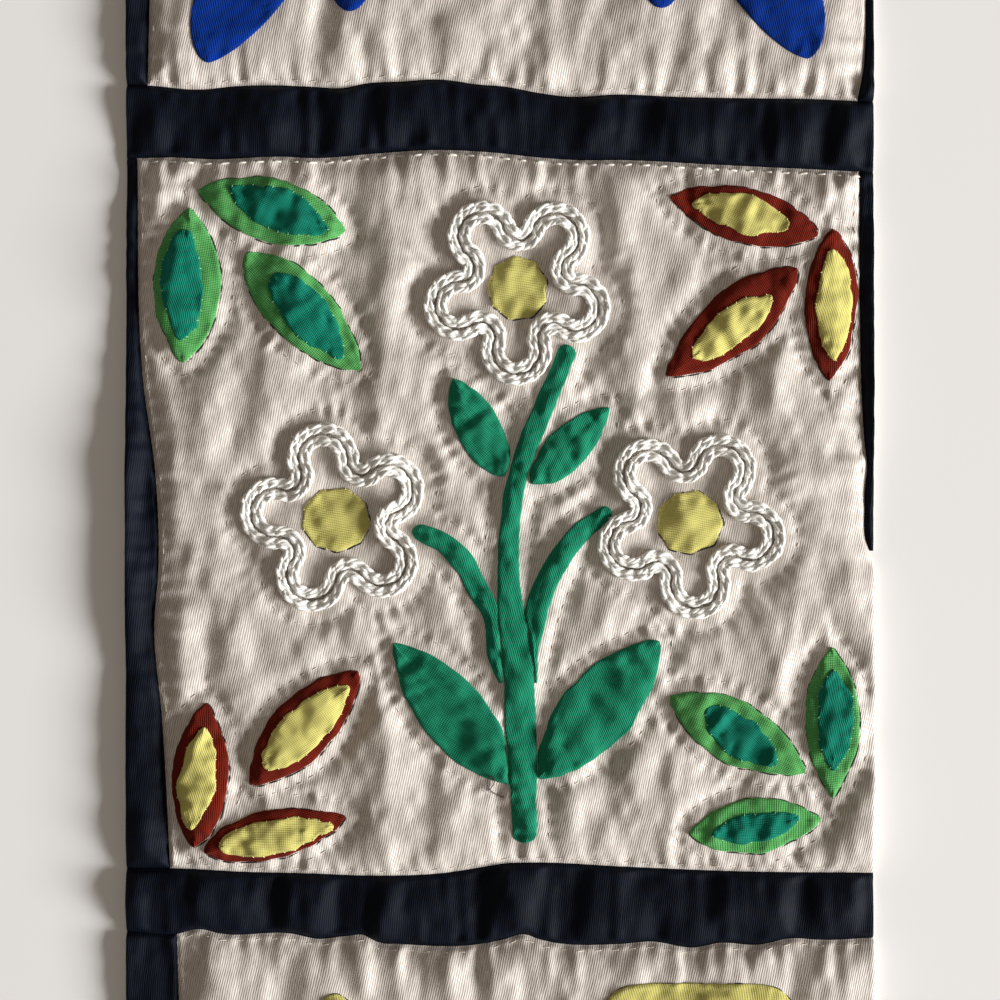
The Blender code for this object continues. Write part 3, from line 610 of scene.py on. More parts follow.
def in_sashing(x, y):
    inside = ((y < UPPER_TOP(x)) & (y > UPPER_LOW(x))) | ((y < LOWER_TOP(x)) & (y > LOWER_LOW(x)))
    rows = rows_of_blocks(x, y)
    for row, left in zip(rows, LEFT_SEAMS):
        inside |= row & (x < left(y))
    for row, right in zip(rows, RIGHT_SEAMS):
        inside |= row & (x > right(y))
    return inside


def leaf_puckers(x, y):
    """Small ribs that the quilting line pulls out of the cloth, square to the edges of leaves and flowers."""
    total = np.zeros(np.shape(x))
    for number, row in enumerate((*CORNER_LEAVES.values(), *SPRAY_LEAVES.values())):
        along, across = turned(x - row[0], y - row[1], -math.radians(row[2]))
        distance = leaf_distance(x, y, row)
        ribs = np.where(across > 0, wander(along, LEAF_RIB, 211 + number),
                        wander(along, LEAF_RIB, 241 + number))
        total += LEAF_PUCKER * ribs * dip(distance - LEAF_RIBS_OUT - ECHO_OFFSET / 2, LEAF_RIBS_FADE)
    for number, row in enumerate(FLOWERS.values()):
        around = np.arctan2(y - row[1], x - row[0])
        away = np.hypot(x - row[0], y - row[1]) - LOBE_REACH
        ribs = wander((around + 4) * LOBE_REACH, LEAF_RIB, 271 + number)
        total += LEAF_PUCKER * ribs * dip(away - FLOWER_RIBS_OUT, FLOWER_RIBS_FADE)
    return total


def dimples(x, y, stitches, depth, reach):
    """What stitches pull the face down by."""
    total = np.zeros(np.shape(x))
    for sx, sy in stitches[:, :2]:
        close = (np.abs(x - sx) < 3 * reach) & (np.abs(y - sy) < 3 * reach)
        if np.any(close):
            pulled = depth * dip(np.hypot(x[close] - sx, y[close] - sy), reach)
            total[close] = np.maximum(total[close], pulled)
    return total


def face(x, y):
    """Height of the quilt's face over the surface that it lies on."""
    x, y = np.atleast_1d(np.asarray(x, float)), np.atleast_1d(np.asarray(y, float))
    seams = seams_near(x, y)
    sashing = in_sashing(x, y)
    nearest = np.minimum.reduce([np.abs(distance) for distance, _ in seams])
    pulled_in = dip(nearest, SEAM_REACH)
    off_seam = 1 - dip(nearest, SEAM_HOLDS)
    loft = np.where(sashing, SASH_LOFT, BLOCK_LOFT)
    flowers = outline_distance(x, y)
    echo = ECHO_DEPTH * dip(motif_distance(x, y, flowers) - ECHO_OFFSET, ECHO_REACH)
    sunk = WOOL_SINKS * dip(flowers + OUTLINE_WIDTH / 2, WOOL_SINK_REACH)
    folds = fold_height(x, y, FOLDS) - np.where(sashing, 0.0, echo + sunk)
    height = SEAM_THICKNESS + (loft + folds) * (1 - pulled_in)
    height += (fold_height(x, y, SMALL_FOLDS) + np.where(sashing, 0.0, leaf_puckers(x, y))) * off_seam
    height -= DITCH_DEPTH * dip(nearest, DITCH_REACH)
    for number, (distance, place) in enumerate(seams):
        gathered = np.where(distance > 0, wander(place, PUCKER_SPACING, 11 + number),
                            wander(place, PUCKER_SPACING, 31 + number))
        depth = np.where(sashing, SASH_PUCKER, BLOCK_PUCKER)
        height += (depth * gathered * np.exp(-np.abs(distance) / PUCKER_REACH)
                   * (1 - dip(distance, SEAM_HOLDS)))
    height += sum(wave(x, y, *row) for row in WAVES) * (1 - pulled_in)
    height += np.where(sashing, wave(x, y, *SASH_WAVE), 0.0) * off_seam
    height -= dimples(x, y, QUILTING_STITCHES, DIMPLE_DEPTH, DIMPLE_REACH)
    height -= dimples(x, y, EDGE_STITCHES, DIMPLE_DEPTH, DIMPLE_REACH)
    return height


# Where the stitches go.

def evenly_along(x, y, pitch, closed=True):
    """Places at an even spacing along a line of points, as rows of x, y and direction."""
    if closed:
        x, y = np.append(x, x[0]), np.append(y, y[0])
    run = np.concatenate([[0.0], np.cumsum(np.hypot(np.diff(x), np.diff(y)))])
    count = max(2, round(run[-1] / pitch))
    places = (np.arange(count) + 0.5) * run[-1] / count
    ahead, behind = np.clip(places + 0.4, 0, run[-1]), np.clip(places - 0.4, 0, run[-1])
    direction = np.arctan2(np.interp(ahead, run, y) - np.interp(behind, run, y),
                           np.interp(ahead, run, x) - np.interp(behind, run, x))
    return np.column_stack([np.interp(places, run, x), np.interp(places, run, y), direction])


def leaf_loop(row, outside=0.0):
    """Points round a leaf, a distance outside its edge."""
    along = -np.cos(np.linspace(0, math.pi, 50))
    side = leaf_sides(along, row[4], row[5], LEAF_FULLNESS)
    x = np.concatenate([along, along[-2:0:-1]]) * row[3] / 2
    y = np.concatenate([side, -side[-2:0:-1]])
    dx, dy = np.roll(x, -1) - np.roll(x, 1), np.roll(y, -1) - np.roll(y, 1)
    size = np.hypot(dx, dy)
    x, y = turned(x - outside * dy / size, y + outside * dx / size, math.radians(row[2]))
    return row[0] + x, row[1] + y


def ribbon_side(rows, outside):
    """Points up one side of a ribbon, outside it by the given distance, to the left where that is above 0."""
    read_x, read_y, read_width = ribbon_curves(rows)
    s = np.linspace(0, 1, 60)
    dx, dy = np.gradient(read_x(s)), np.gradient(read_y(s))
    side = (read_width(s) / 2 + abs(outside)) * math.copysign(1, outside) / np.hypot(dx, dy)
    return read_x(s) - dy * side, read_y(s) + dx * side


def quilting_stitches():
    """Stitches along the quilting lines that follow the motifs, as rows of x, y and direction."""
    lines = [evenly_along(*leaf_loop(row, ECHO_OFFSET), QUILTING_PITCH)
             for row in (*CORNER_LEAVES.values(), *SPRAY_LEAVES.values())]
    lines += [evenly_along(*ribbon_side(rows, side), QUILTING_PITCH, closed=False)
              for rows in RIBBONS.values() for side in (ECHO_OFFSET, -ECHO_OFFSET)]
    round_once = np.linspace(0, 1, 400, endpoint=False)
    beyond = 1 + ECHO_OFFSET / (OUTLINE_WIDTH / 2)
    lines += [evenly_along(*outline_point(round_once, beyond, row), QUILTING_PITCH)
              for row in FLOWERS.values()]
    rows = np.concatenate(lines)
    distance = motif_distance(rows[:, 0], rows[:, 1])
    seams = np.minimum.reduce([np.abs(d) for d, _ in seams_near(rows[:, 0], rows[:, 1])])
    clear = (distance > 0.7 * ECHO_OFFSET) & (seams > OFF_SEAMS)
    rows = rows[clear & (np.abs(rows[:, 0]) < CUT_RIGHT - OFF_CUTS)]
    kept = []
    for row in rows:
        if all(math.hypot(row[0] - k[0], row[1] - k[1]) > STITCHES_APART for k in kept):
            kept.append(row)
    return np.array(kept)


def edge_stitches():
    """Running stitches along the blocks' edges, as rows of x, y and direction."""
    lines = []
    for seam, side in ((UPPER_TOP, 1), (UPPER_LOW, -1), (LOWER_TOP, 1), (LOWER_LOW, -1)):
        x = np.arange(-101.0, 105.0, 1.0)
        line = evenly_along(x, seam(x) + side * EDGE_INSET, EDGE_PITCH, closed=False)
        lines.append(line[~in_sashing(line[:, 0], line[:, 1])])
    for seam, low, high in ((LEFT_SEAMS[1], -102.0, 94.0), (LEFT_SEAMS[0], 121.0, 149.0),
                            (LEFT_SEAMS[2], -149.0, -129.0)):
        y = np.arange(low, high, 1.0)
        lines.append(evenly_along(seam(y) + EDGE_INSET, y, EDGE_PITCH, closed=False))
    y = np.arange(6.0, 90.0, 1.0)
    lines.append(evenly_along(RIGHT_SEAMS[1](y) - EDGE_INSET, y, EDGE_PITCH, closed=False))
    return np.concatenate(lines)


QUILTING_STITCHES = quilting_stitches()
EDGE_STITCHES = edge_stitches()


# Materials.

def linear(hex_colour):
    """An sRGB hex colour as linear red, green, blue and 1."""
    parts = [int(hex_colour[i:i + 2], 16) / 255 for i in (0, 2, 4)]
    return (*[p / 12.92 if p <= 0.04045 else ((p + 0.055) / 1.055) ** 2.4 for p in parts], 1.0)


def add(tree, kind, sockets=None, **settings):
    """Adds a node: settings are its own, and sockets holds a value or another node's output for each."""
    node = tree.nodes.new(kind)
    for name, value in settings.items():
        setattr(node, name, value)
    for name, value in (sockets or {}).items():
        if isinstance(value, bpy.types.NodeSocket):
            tree.links.new(value, node.inputs[name])
        else:
            node.inputs[name].default_value = value
    return node.outputs


def new_material(name, roughness, sheen, specular=0.10):
    material = bpy.data.materials.new(name)
    material.use_nodes = True
    tree = material.node_tree
    shader = tree.nodes["Principled BSDF"]
    shader.inputs["Roughness"].default_value = roughness
    shader.inputs["Specular IOR Level"].default_value = specular
    shader.inputs["Sheen Weight"].default_value = sheen
    shader.inputs["Sheen Roughness"].default_value = 0.5
    return material, tree, shader


def drifted(tree, place, scale, detail, amount):
    """The place, moved a little at random, so that threads don't run dead straight."""
    drift = add(tree, "ShaderNodeTexNoise", {"Vector": place, "Scale": scale, "Detail": detail})["Color"]
    return add(tree, "ShaderNodeMix", {0: amount, 6: place, 7: drift}, data_type="RGBA", blend_type="ADD",
               clamp_factor=False)[2]


def ribs_along(tree, value):
    """A smooth wave from 0 to 1 for each whole number of the value."""
    wave = add(tree, "ShaderNodeMath", {0: value, 1: 2 * math.pi}, operation="MULTIPLY")[0]
    wave = add(tree, "ShaderNodeMath", {0: wave}, operation="SINE")[0]
    return add(tree, "ShaderNodeMath", {0: wave, 1: 0.5, 2: 0.5}, operation="MULTIPLY_ADD")[0]


def uneven_threads(tree, place, stretch):
    """Thicker and thinner places along the threads."""
    place = add(tree, "ShaderNodeMapping", {"Vector": place, "Scale": stretch})["Vector"]
    return add(tree, "ShaderNodeTexNoise",
               {"Vector": place, "Scale": 1.0, "Detail": 2.0, "Roughness": 0.7})["Fac"]


def groove_shade_and_patches(tree, place, height, low, high, scale, share):
    """A tone from the threads' height, darker where they lie lower as painted shade, with a share of wide
    patches.
    """
    tone = add(tree, "ShaderNodeMapRange", {"Value": height, "From Min": low, "From Max": high})["Result"]
    patches = add(tree, "ShaderNodeTexNoise", {"Vector": place, "Scale": scale, "Detail": 3.0})["Fac"]
    return add(tree, "ShaderNodeMath", {0: patches, 1: share, 2: tone}, operation="MULTIPLY_ADD")[0]


def dressed(tree, shader, tone, light, dark, height, depth, strength=1.0):
    """Gives a material a colour between two by the tone, and a bump of a real depth by the height."""
    # Every maker's tone follows the height, so the dark colour is painted shade in the low places.
    colour = add(tree, "ShaderNodeMix", {0: tone, 6: linear(dark), 7: linear(light)}, data_type="RGBA")[2]
    tree.links.new(colour, shader.inputs["Base Color"])
    bump = add(tree, "ShaderNodeBump", {"Height": height, "Strength": strength, "Distance": depth})["Normal"]
    tree.links.new(bump, shader.inputs["Normal"])


def sateen(name, light, dark, rib, lean, shine, sheen, roughness):
    """Cotton sateen: long floats lie side by side, which gives fine leaning ribs and a soft lustre."""
    material, tree, shader = new_material(name, roughness, sheen, shine)
    place = drifted(tree, add(tree, "ShaderNodeTexCoord")["Object"], 90.0, 1.0, 0.0009)
    across = add(tree, "ShaderNodeMapping", {"Vector": place, "Rotation": (0, 0, math.radians(lean)),
                                             "Scale": (1 / rib, 1 / rib, 1.0)})["Vector"]
    ribs = ribs_along(tree, add(tree, "ShaderNodeSeparateXYZ", {"Vector": across})["X"])
    floats = uneven_threads(tree, across, (1.3, 0.22, 1.0))
    height = add(tree, "ShaderNodeMath", {0: ribs, 1: 0.55, 2: floats}, operation="MULTIPLY_ADD")[0]
    # The colour is painted shade in the grooves between floats, with patches of random tone.
    tone = groove_shade_and_patches(tree, place, height, 0.3, 1.2, 45.0, 0.35)
    dressed(tree, shader, tone, light, dark, height, 0.00009)
    return material


def plain_weave(name, light, dark, thread, depth=0.00014):
    """Cotton in plain weave: each thread goes over one and under the next, so it is matt with a fine grid.

    The real threads are about 0.3 mm apart. They are drawn wider, so that they show in the render.
    """
    material, tree, shader = new_material(name, 0.85, 0.02)
    place = add(tree, "ShaderNodeAttribute", attribute_name="threads")["Vector"]
    scaled = add(tree, "ShaderNodeMapping", {"Vector": drifted(tree, place, 0.15, 2.0, 0.8),
                                             "Scale": (1 / thread, 1.25 / thread, 1.0)})["Vector"]
    parts = add(tree, "ShaderNodeSeparateXYZ", {"Vector": scaled})
    warp, weft = (ribs_along(tree, parts[axis]) for axis in ("X", "Y"))
    ribs = add(tree, "ShaderNodeMath", {0: warp, 1: 0.35, 2: weft}, operation="MULTIPLY_ADD")[0]
    slubs = uneven_threads(tree, scaled, (0.12, 0.9, 1.0))
    height = add(tree, "ShaderNodeMath", {0: slubs, 1: 1.2, 2: ribs}, operation="MULTIPLY_ADD")[0]
    # The colour is painted shade where the threads lie lower, with patches of random tone.
    tone = groove_shade_and_patches(tree, place, height, 0.4, 1.8, 0.12, 0.5)
    dressed(tree, shader, tone, light, dark, height, depth)
    return material


def fibrous(name, light, dark, finish, scale, detail, depth, strength=1.0):
    """Loose fibre, uneven in height and painted darker where it lies lower, as painted shade. finish holds
    its roughness, sheen and specular level.
    """
    material, tree, shader = new_material(name, *finish)
    place = add(tree, "ShaderNodeTexCoord")["Object"]
    fibres = add(tree, "ShaderNodeTexNoise", {"Vector": place, "Scale": scale, "Detail": detail})["Fac"]
    # Colour and bump read one noise, so the lower fibres get the darker colour: painted shade.
    dressed(tree, shader, fibres, light, dark, fibres, depth, strength)
    return material, shader


def wool(name, light, dark):
    """Two-ply knitting wool: matt and hairy. Some light goes into it, so its shaded sides stay pale."""
    material, shader = fibrous(name, light, dark, (0.9, 0.3, 0.05), 2500.0, 3.0, 0.00015, 0.6)
    shader.inputs["Subsurface Weight"].default_value = 0.15
    shader.inputs["Subsurface Radius"].default_value = (1.0, 0.95, 0.9)
    shader.inputs["Subsurface Scale"].default_value = 0.0006
    return material


def wadding(name, light, dark):
    """Cotton wadding at a cut edge: loose white fibre with no shine."""
    return fibrous(name, light, dark, (1.0, 0.3, 0.1), 900.0, 4.0, 0.0006)[0]


def sewing_thread(name, hex_colour):
    """Cotton sewing thread: a slight shine along it."""
    material, _, shader = new_material(name, 0.55, 0.2, 0.4)
    shader.inputs["Base Color"].default_value = linear(hex_colour)
    return material


# Each material's maker and what it is given. Sateen ribs are 0.65 mm apart, as they show on the cream cloth.
# Of the two colours that cloth, wool and wadding are given, the second is painted shade for their low places,
# and sateen and plain weave also use it in random patches.
MATERIALS = {name: make(name, *rest) for name, make, *rest in (
    ("cream_sateen", sateen, "e8e0d8", "8d8077", 0.00065, 12.0, 0.4, 0.05, 0.5),
    ("navy_cotton", sateen, "0d1422", "010205", 0.0006, 6.0, 0.09, 0.0, 0.62),
    ("light_green_cotton", plain_weave, "62b264", "2a733a", 0.62),
    ("teal_green_cotton", plain_weave, "10806a", "06503f", 0.62),
    ("emerald_cotton", plain_weave, "1d8b69", "0a4f3b", 0.62),
    ("brick_red_cotton", plain_weave, "701d0e", "430d05", 0.66),
    ("pale_yellow_cotton", plain_weave, "d2cb78", "aba355", 0.60, 0.00008),
    ("royal_blue_cotton", plain_weave, "02338f", "011f5e", 0.62),
    ("white_wool", wool, "fcfbf7", "f1eee8"),
    ("cotton_wadding", wadding, "cdc7be", "978f85"),
    ("white_thread", sewing_thread, "e8e4da"),
    ("cream_thread", sewing_thread, "e2d8c8"),
    ("quilting_thread", sewing_thread, "d3c7ba"),
    ("dark_thread", sewing_thread, "2b2a2d"),
    ("green_thread", sewing_thread, "8fd0a0"),
    ("yellow_thread", sewing_thread, "efe6a4"),
    ("marking_ink", sewing_thread, "15130f"),
)}


# Meshes.

def grid_faces(rows, columns, first=0):
    """Corner numbers of a grid's faces, anticlockwise where x follows the rows and y the columns."""
    i, j = np.meshgrid(np.arange(rows - 1), np.arange(columns - 1), indexing="ij")
    a = first + i * columns + j
    return np.stack([a, a + columns, a + columns + 1, a + 1], -1).reshape(-1, 4)


def grid_rim(rows, columns):
    """Row and column numbers round a grid's rim, anticlockwise from its first corner, side by side."""
    i, j = np.arange(rows), np.arange(columns)
    return [(i, np.zeros_like(i)), (np.full_like(j, rows - 1), j), (i[::-1], np.full_like(i, columns - 1)),
            (np.zeros_like(j), j[::-1])]


def piece_of(name, points, faces, materials, face_materials=None, threads=None):
    """An object from points in millimetres."""
    mesh = bpy.data.meshes.new(name)
    mesh.from_pydata((points * MM).tolist(), [], [list(map(int, f)) for f in faces])
    for material in materials:
        mesh.materials.append(MATERIALS[material])
    if face_materials is not None:
        mesh.polygons.foreach_set("material_index", np.asarray(face_materials, np.int32))
    if threads is not None:
        column = mesh.attributes.new("threads", "FLOAT_VECTOR", "POINT")
        column.data.foreach_set("vector", np.ascontiguousarray(threads, np.float32).ravel())
    mesh.shade_smooth()
    piece = bpy.data.objects.new(name, mesh)
    bpy.context.scene.collection.objects.link(piece)
    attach(piece, "root")
    return piece


def grain_place(x, y, angle):
    """Place in a cloth, in millimetres along and across its threads."""
    u, v = turned(x, y, -math.radians(angle))
    return np.column_stack([u.ravel(), v.ravel(), np.zeros(u.size)])


def eased(count):
    """Places from 0 to 1, closer together at both ends."""
    return 0.5 - 0.5 * np.cos(np.linspace(0, math.pi, count))


def spaced(length, cut_start, cut_end):
    """Places from 0 to 1 along a panel's side, closer beside a seam, where the face drops into the ditch."""
    start, end = (np.array(CUT_STEPS if cut else SEAM_STEPS) for cut in (cut_start, cut_end))
    if length < SHORT_SIDE:
        return np.linspace(0, 1, max(5, round(length / SHORT_STEP)))
    count = max(2, round((length - end[-1] - start[-1]) / PANEL_STEP))
    middle = np.linspace(start[-1], length - end[-1], count + 1)[1:-1]
    return np.concatenate([start, middle, length - end[::-1]]) / length


def column_points(x, y, z):
    """Places and heights of a grid as rows of x, y and z."""
    return np.column_stack([x.ravel(), y.ravel(), z.ravel()])


def quilted_panel(node, left, right, low, high, cloth, cuts):
    """A panel of the quilt: a fine face, and an underside with wider steps.

    cuts names its sides at the cut edge, where the wadding shows between the face and the back.
    """
    middle = 0.5 * (low(0.0) + high(0.0))
    s = spaced(float(right(middle) - left(middle)), "left" in cuts, "right" in cuts)
    t = spaced(float(high(0.0) - low(0.0)), "low" in cuts, "high" in cuts)
    s, t = np.meshgrid(s, t, indexing="ij")
    # Each side's place depends on the other's, so x and y are found in turns, which soon settle.
    x = np.zeros_like(s)
    for _ in range(8):
        y = low(x) + t * (high(x) - low(x))
        x = left(y) + s * (right(y) - left(y))
    rows, columns = s.shape
    z = face(x, y)
    for side, distance in (("left", x - CUT_LEFT), ("right", CUT_RIGHT - x), ("low", y - CUT_BOTTOM),
                           ("high", CUT_TOP - y)):
        if side in cuts:
            z -= CUT_DROP * dip(distance, CUT_DROP_REACH)
    points = [column_points(x, y, z)]
    faces = grid_faces(rows, columns).tolist()
    kinds = [0] * len(faces)
    pick = [np.unique(np.append(np.arange(0, n, UNDERSIDE_EVERY), n - 1)) for n in (rows, columns)]
    under = np.ix_(*pick)
    first = rows * columns
    points.append(column_points(x[under], y[under], np.zeros(x[under].size)))
    below = grid_faces(len(pick[0]), len(pick[1]), first)[:, ::-1].tolist()
    faces += below
    kinds += [2] * len(below)
    number = first + x[under].size
    for side, (i, j) in zip(("low", "right", "high", "left"), grid_rim(rows, columns)):
        picked = [k for k in range(len(i)) if i[k] in pick[0] and j[k] in pick[1]]
        below_row, below_column = (np.searchsorted(pick[axis], at[picked]) for axis, at in ((0, i), (1, j)))
        bottom = (first + below_row * len(pick[1]) + below_column).tolist()
        top = (i * columns + j).tolist()
        if side in cuts:
            edge = np.arange(number, number + len(i)).tolist()
            points.append(column_points(x[i, j], y[i, j], z[i, j] - CLOTH_AT_CUT))
            number += len(i)
            faces += [[edge[k], edge[k + 1], top[k + 1], top[k]] for k in range(len(i) - 1)]
            kinds += [0] * (len(i) - 1)
            top = edge
        for a, b, k, n in zip(picked[:-1], picked[1:], bottom[:-1], bottom[1:]):
            faces.append([k, n, *top[a:b + 1][::-1]])
            kinds.append(1 if side in cuts else 0)
    points = np.concatenate(points)
    piece = piece_of(f"{node}_quilted", points, faces, [cloth, "cotton_wadding", "cream_sateen"], kinds)
    welded(piece)
    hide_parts(node)


def area_of(x, y):
    """Flat area of a grid of places, in square millimetres."""
    ax, ay = x[1:, 1:] - x[:-1, :-1], y[1:, 1:] - y[:-1, :-1]
    bx, by = x[:-1, 1:] - x[1:, :-1], y[:-1, 1:] - y[1:, :-1]
    return float(np.abs(ax * by - ay * bx).sum() / 2)


def welded(piece, smallest=1e-6):
    """Joins points that lie on each other, drops what that flattens, and turns the faces outwards."""
    shape = bmesh.new()
    shape.from_mesh(piece.data)
    bmesh.ops.remove_doubles(shape, verts=shape.verts, dist=smallest)
    bmesh.ops.dissolve_degenerate(shape, dist=smallest, edges=shape.edges)
    bmesh.ops.recalc_face_normals(shape, faces=shape.faces)
    shape.to_mesh(piece.data)
    shape.free()
    piece.data.set_sharp_from_angle(angle=math.radians(SHARP_ANGLE))


def edge_places(x, y, loop):
    """Distance of points to a closed line of points, and the place along that line that is nearest."""
    ax, ay = loop.T
    bx, by = np.roll(ax, -1), np.roll(ay, -1)
    dx, dy = bx - ax, by - ay
    length = np.hypot(dx, dy)
    run = np.concatenate([[0.0], np.cumsum(length)[:-1]])
    flat_x, flat_y = np.ravel(x)[:, None], np.ravel(y)[:, None]
    part = np.clip(((flat_x - ax) * dx + (flat_y - ay) * dy) / np.maximum(length, 1e-9) ** 2, 0, 1)
    distance = np.hypot(flat_x - ax - part * dx, flat_y - ay - part * dy)
    nearest = distance.argmin(axis=1)
    index = np.arange(len(nearest))
    place = run[nearest] + part[index, nearest] * length[nearest]
    return distance[index, nearest].reshape(np.shape(x)), place.reshape(np.shape(x))


def unevenly_cut(x, y, seed, number):
    """How a piece's edge strays: in wide waves of its own, and in fine ones that all pieces share."""
    return (uneven(x, y, RAGGED_LENGTH, RAGGED_LENGTH, seed + number)
            + FINE_SHARE * uneven(x, y, RAGGED_FINE, RAGGED_FINE, seed + 2))


class SewnCloth:
    """A piece of cloth that is sewn on, with the shape of its upper side for what is sewn on it in turn."""

    def __init__(self, name, x, y, cloth, grain, under=None, open_end=False, ragged=0.45, number=0,
                 lie=90.0, ripple=RIPPLE):
        self.lie, self.ripple = math.radians(lie), ripple
        self.under = under or (lambda px, py: face(px, py) + LIFT)
        if not open_end:
            x = x + ragged * unevenly_cut(x, y, 51, number)
            y = y + ragged * unevenly_cut(x, y, 71, number)
        rim = [np.column_stack([x[i, j], y[i, j]])[:-1] for i, j in grid_rim(*x.shape)]
        if open_end:
            # Nothing is turned under at the cut edge, so the rim passes far outside it.
            last = rim[1]
            rim[1] = np.column_stack([last[:, 0], last[:, 1] + OPEN_END_FAR * np.sign(last[:, 1])])
        loop = np.concatenate(rim)
        self.loop = loop[np.hypot(*(loop - np.roll(loop, 1, axis=0)).T) > 1e-6]
        self.seed = 90 + number
        self.stitches = evenly_along(*self.loop.T, SLIP_PITCH)
        rows, columns = x.shape
        points = np.concatenate([column_points(x, y, z) for z in (self.top(x, y), self.under(x, y))])
        faces = grid_faces(rows, columns).tolist()
        faces += grid_faces(rows, columns, x.size)[:, ::-1].tolist()
        for i, j in grid_rim(rows, columns):
            edge = i * columns + j
            faces += [[x.size + a, x.size + b, b, a] for a, b in zip(edge[:-1], edge[1:])]
        threads = grain_place(x, y, grain) + np.array([number * 37.0, number * 11.0, 0.0])
        self.piece = piece_of(f"{name}_cloth", points, faces, [cloth], threads=np.concatenate([threads] * 2))
        welded(self.piece)
        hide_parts(name)
        self.area = area_of(x, y)
        u, v = turned(x, y, -math.radians(grain))
        self.size = (float(np.ptp(u)), float(np.ptp(v)))

    def top(self, x, y):
        distance, place = edge_places(x, y, self.loop)
        turned_edge = TURNED_EDGE * np.sqrt(1 - (1 - np.minimum(distance / EDGE_ROUND, 1)) ** 2)
        puff = PUFF * (1 - np.exp(-(distance / PUFF_REACH) ** 2))
        ripple = self.ripple * wander(place, EDGE_RIPPLE, self.seed) * np.exp(-distance / EDGE_RIPPLE_REACH)
        ripple *= np.minimum(distance, 1)
        along, across = turned(x, y, -self.lie)
        folds = uneven(along, across, *CROSS_RIPPLE, self.seed + 40)
        folds += FINE_SHARE * uneven(x, y, FINE_RIPPLE, FINE_RIPPLE, self.seed + 60)
        ripple += self.ripple * folds * np.minimum(distance / 2.0, 1)
        pulled = dimples(x, y, self.stitches, SLIP_DEPTH, SLIP_REACH) * np.minimum(distance / 0.4, 1)
        thinnest = THINNEST * np.minimum(distance / 0.3, 1)
        return self.under(x, y) + np.maximum(turned_edge + puff + ripple - pulled, thinnest)


def sheet_of_leaf(row, fullness):
    s, t = np.meshgrid(np.linspace(0, 1, 53), eased(25), indexing="ij")
    along = -np.cos(math.pi * s)
    side = leaf_sides(along, row[4], row[5], fullness)
    x, y = turned(along * row[3] / 2, (2 * t - 1) * side, math.radians(row[2]))
    return row[0] + x, row[1] + y


def beside_stem(x, y):
    """x moved sideways out of the stem, as far as the gap beside its edge."""
    rows = RIBBONS["stem"]
    middle = curve_through([(row[1], row[0]) for row in rows])(y)
    clear = curve_through([(row[1], row[2] / 2) for row in rows])(y) + STEM_GAP
    return np.where(x < middle, np.minimum(x, middle - clear), np.maximum(x, middle + clear))


def inner_row(row):
    """The row of the leaf that is sewn on a corner leaf."""
    leaf = dict(zip(LEAF_COLUMNS, row))
    dx, dy = turned(leaf["along"], leaf["across"], math.radians(leaf["turn"]))
    return (leaf["x"] + dx, leaf["y"] + dy, leaf["turn"] + leaf["inner_turn"], leaf["inner_length"],
            leaf["inner_width"], leaf["belly"])


def sheet_of_ribbon(name, rows):
    """A ribbon with a rounded tip. The stem's foot is rounded too; the branches start beside the stem."""
    read_x, read_y, read_width = ribbon_curves(rows)
    length = float(np.hypot(*np.diff(np.array(rows)[:, :2], axis=0).T).sum())
    s = eased(round(length * 1.1))
    ahead, behind = np.clip(s + 0.01, 0, 1), np.clip(s - 0.01, 0, 1)
    dx, dy = read_x(ahead) - read_x(behind), read_y(ahead) - read_y(behind)
    from_end = (np.minimum(s, 1 - s) if name == "stem" else 1 - s) * length
    rounding = np.sqrt(np.clip(1 - (1 - np.minimum(from_end / RIBBON_ROUND, 1)) ** 2, 0, 1))
    reach = read_width(s) / 2 * rounding / np.hypot(dx, dy)
    sides = [(read_x(s) + dy * side, read_y(s) - dx * side) for side in (reach, -reach)]
    if name != "stem":
        sides = [(beside_stem(x, y), y) for x, y in sides]
    t = eased(15)
    return [start[:, None] + t * (end - start)[:, None] for start, end in zip(*sides)]


def sheet_of_centre(row):
    x0, y0, _, half_wide, half_high, _ = row
    s = np.sin(np.linspace(-math.pi / 2, math.pi / 2, 27))
    s, t = np.meshgrid(s, s, indexing="ij")
    u, v = s * np.sqrt(1 - t * t / 2), t * np.sqrt(1 - s * s / 2)
    angle = np.arctan2(v, u)
    cornered = 1 - 0.07 * np.abs(np.sin(4.5 * angle + row[0])) * np.hypot(u, v)
    return x0 + half_wide * u * cornered, y0 + half_high * v * cornered


def sheet_of_end(row):
    """The rounded end of a sewn-on piece, from its tip to the cut edge that crosses it."""
    tip_x, tip_y, cut_x, width, fullness = row
    cut_y = math.copysign(CUT_TOP, tip_y)
    s, t = np.meshgrid(np.linspace(0, 1, 26), eased(max(14, round(width * 1.1))), indexing="ij")
    part = 1 - np.cos(math.pi / 2 * s)
    side = width / 2 * np.sin(math.pi / 2 * part) ** fullness
    return tip_x + part * (cut_x - tip_x) + (2 * t - 1) * side, tip_y + part * (cut_y - tip_y)


# Threads.

def sides_of(ahead):
    """Directions aside and above for threads that run ahead."""
    ahead = ahead / (np.linalg.norm(ahead, axis=2, keepdims=True) + 1e-12)
    aside = np.cross(ahead, np.array([0.0, 0.0, 1.0]))
    aside /= np.linalg.norm(aside, axis=2, keepdims=True) + 1e-12
    return aside, np.cross(aside, ahead)


def ahead_of(loops):
    """The direction at each point of closed threads."""
    return np.roll(loops, -1, axis=1) - np.roll(loops, 1, axis=1)


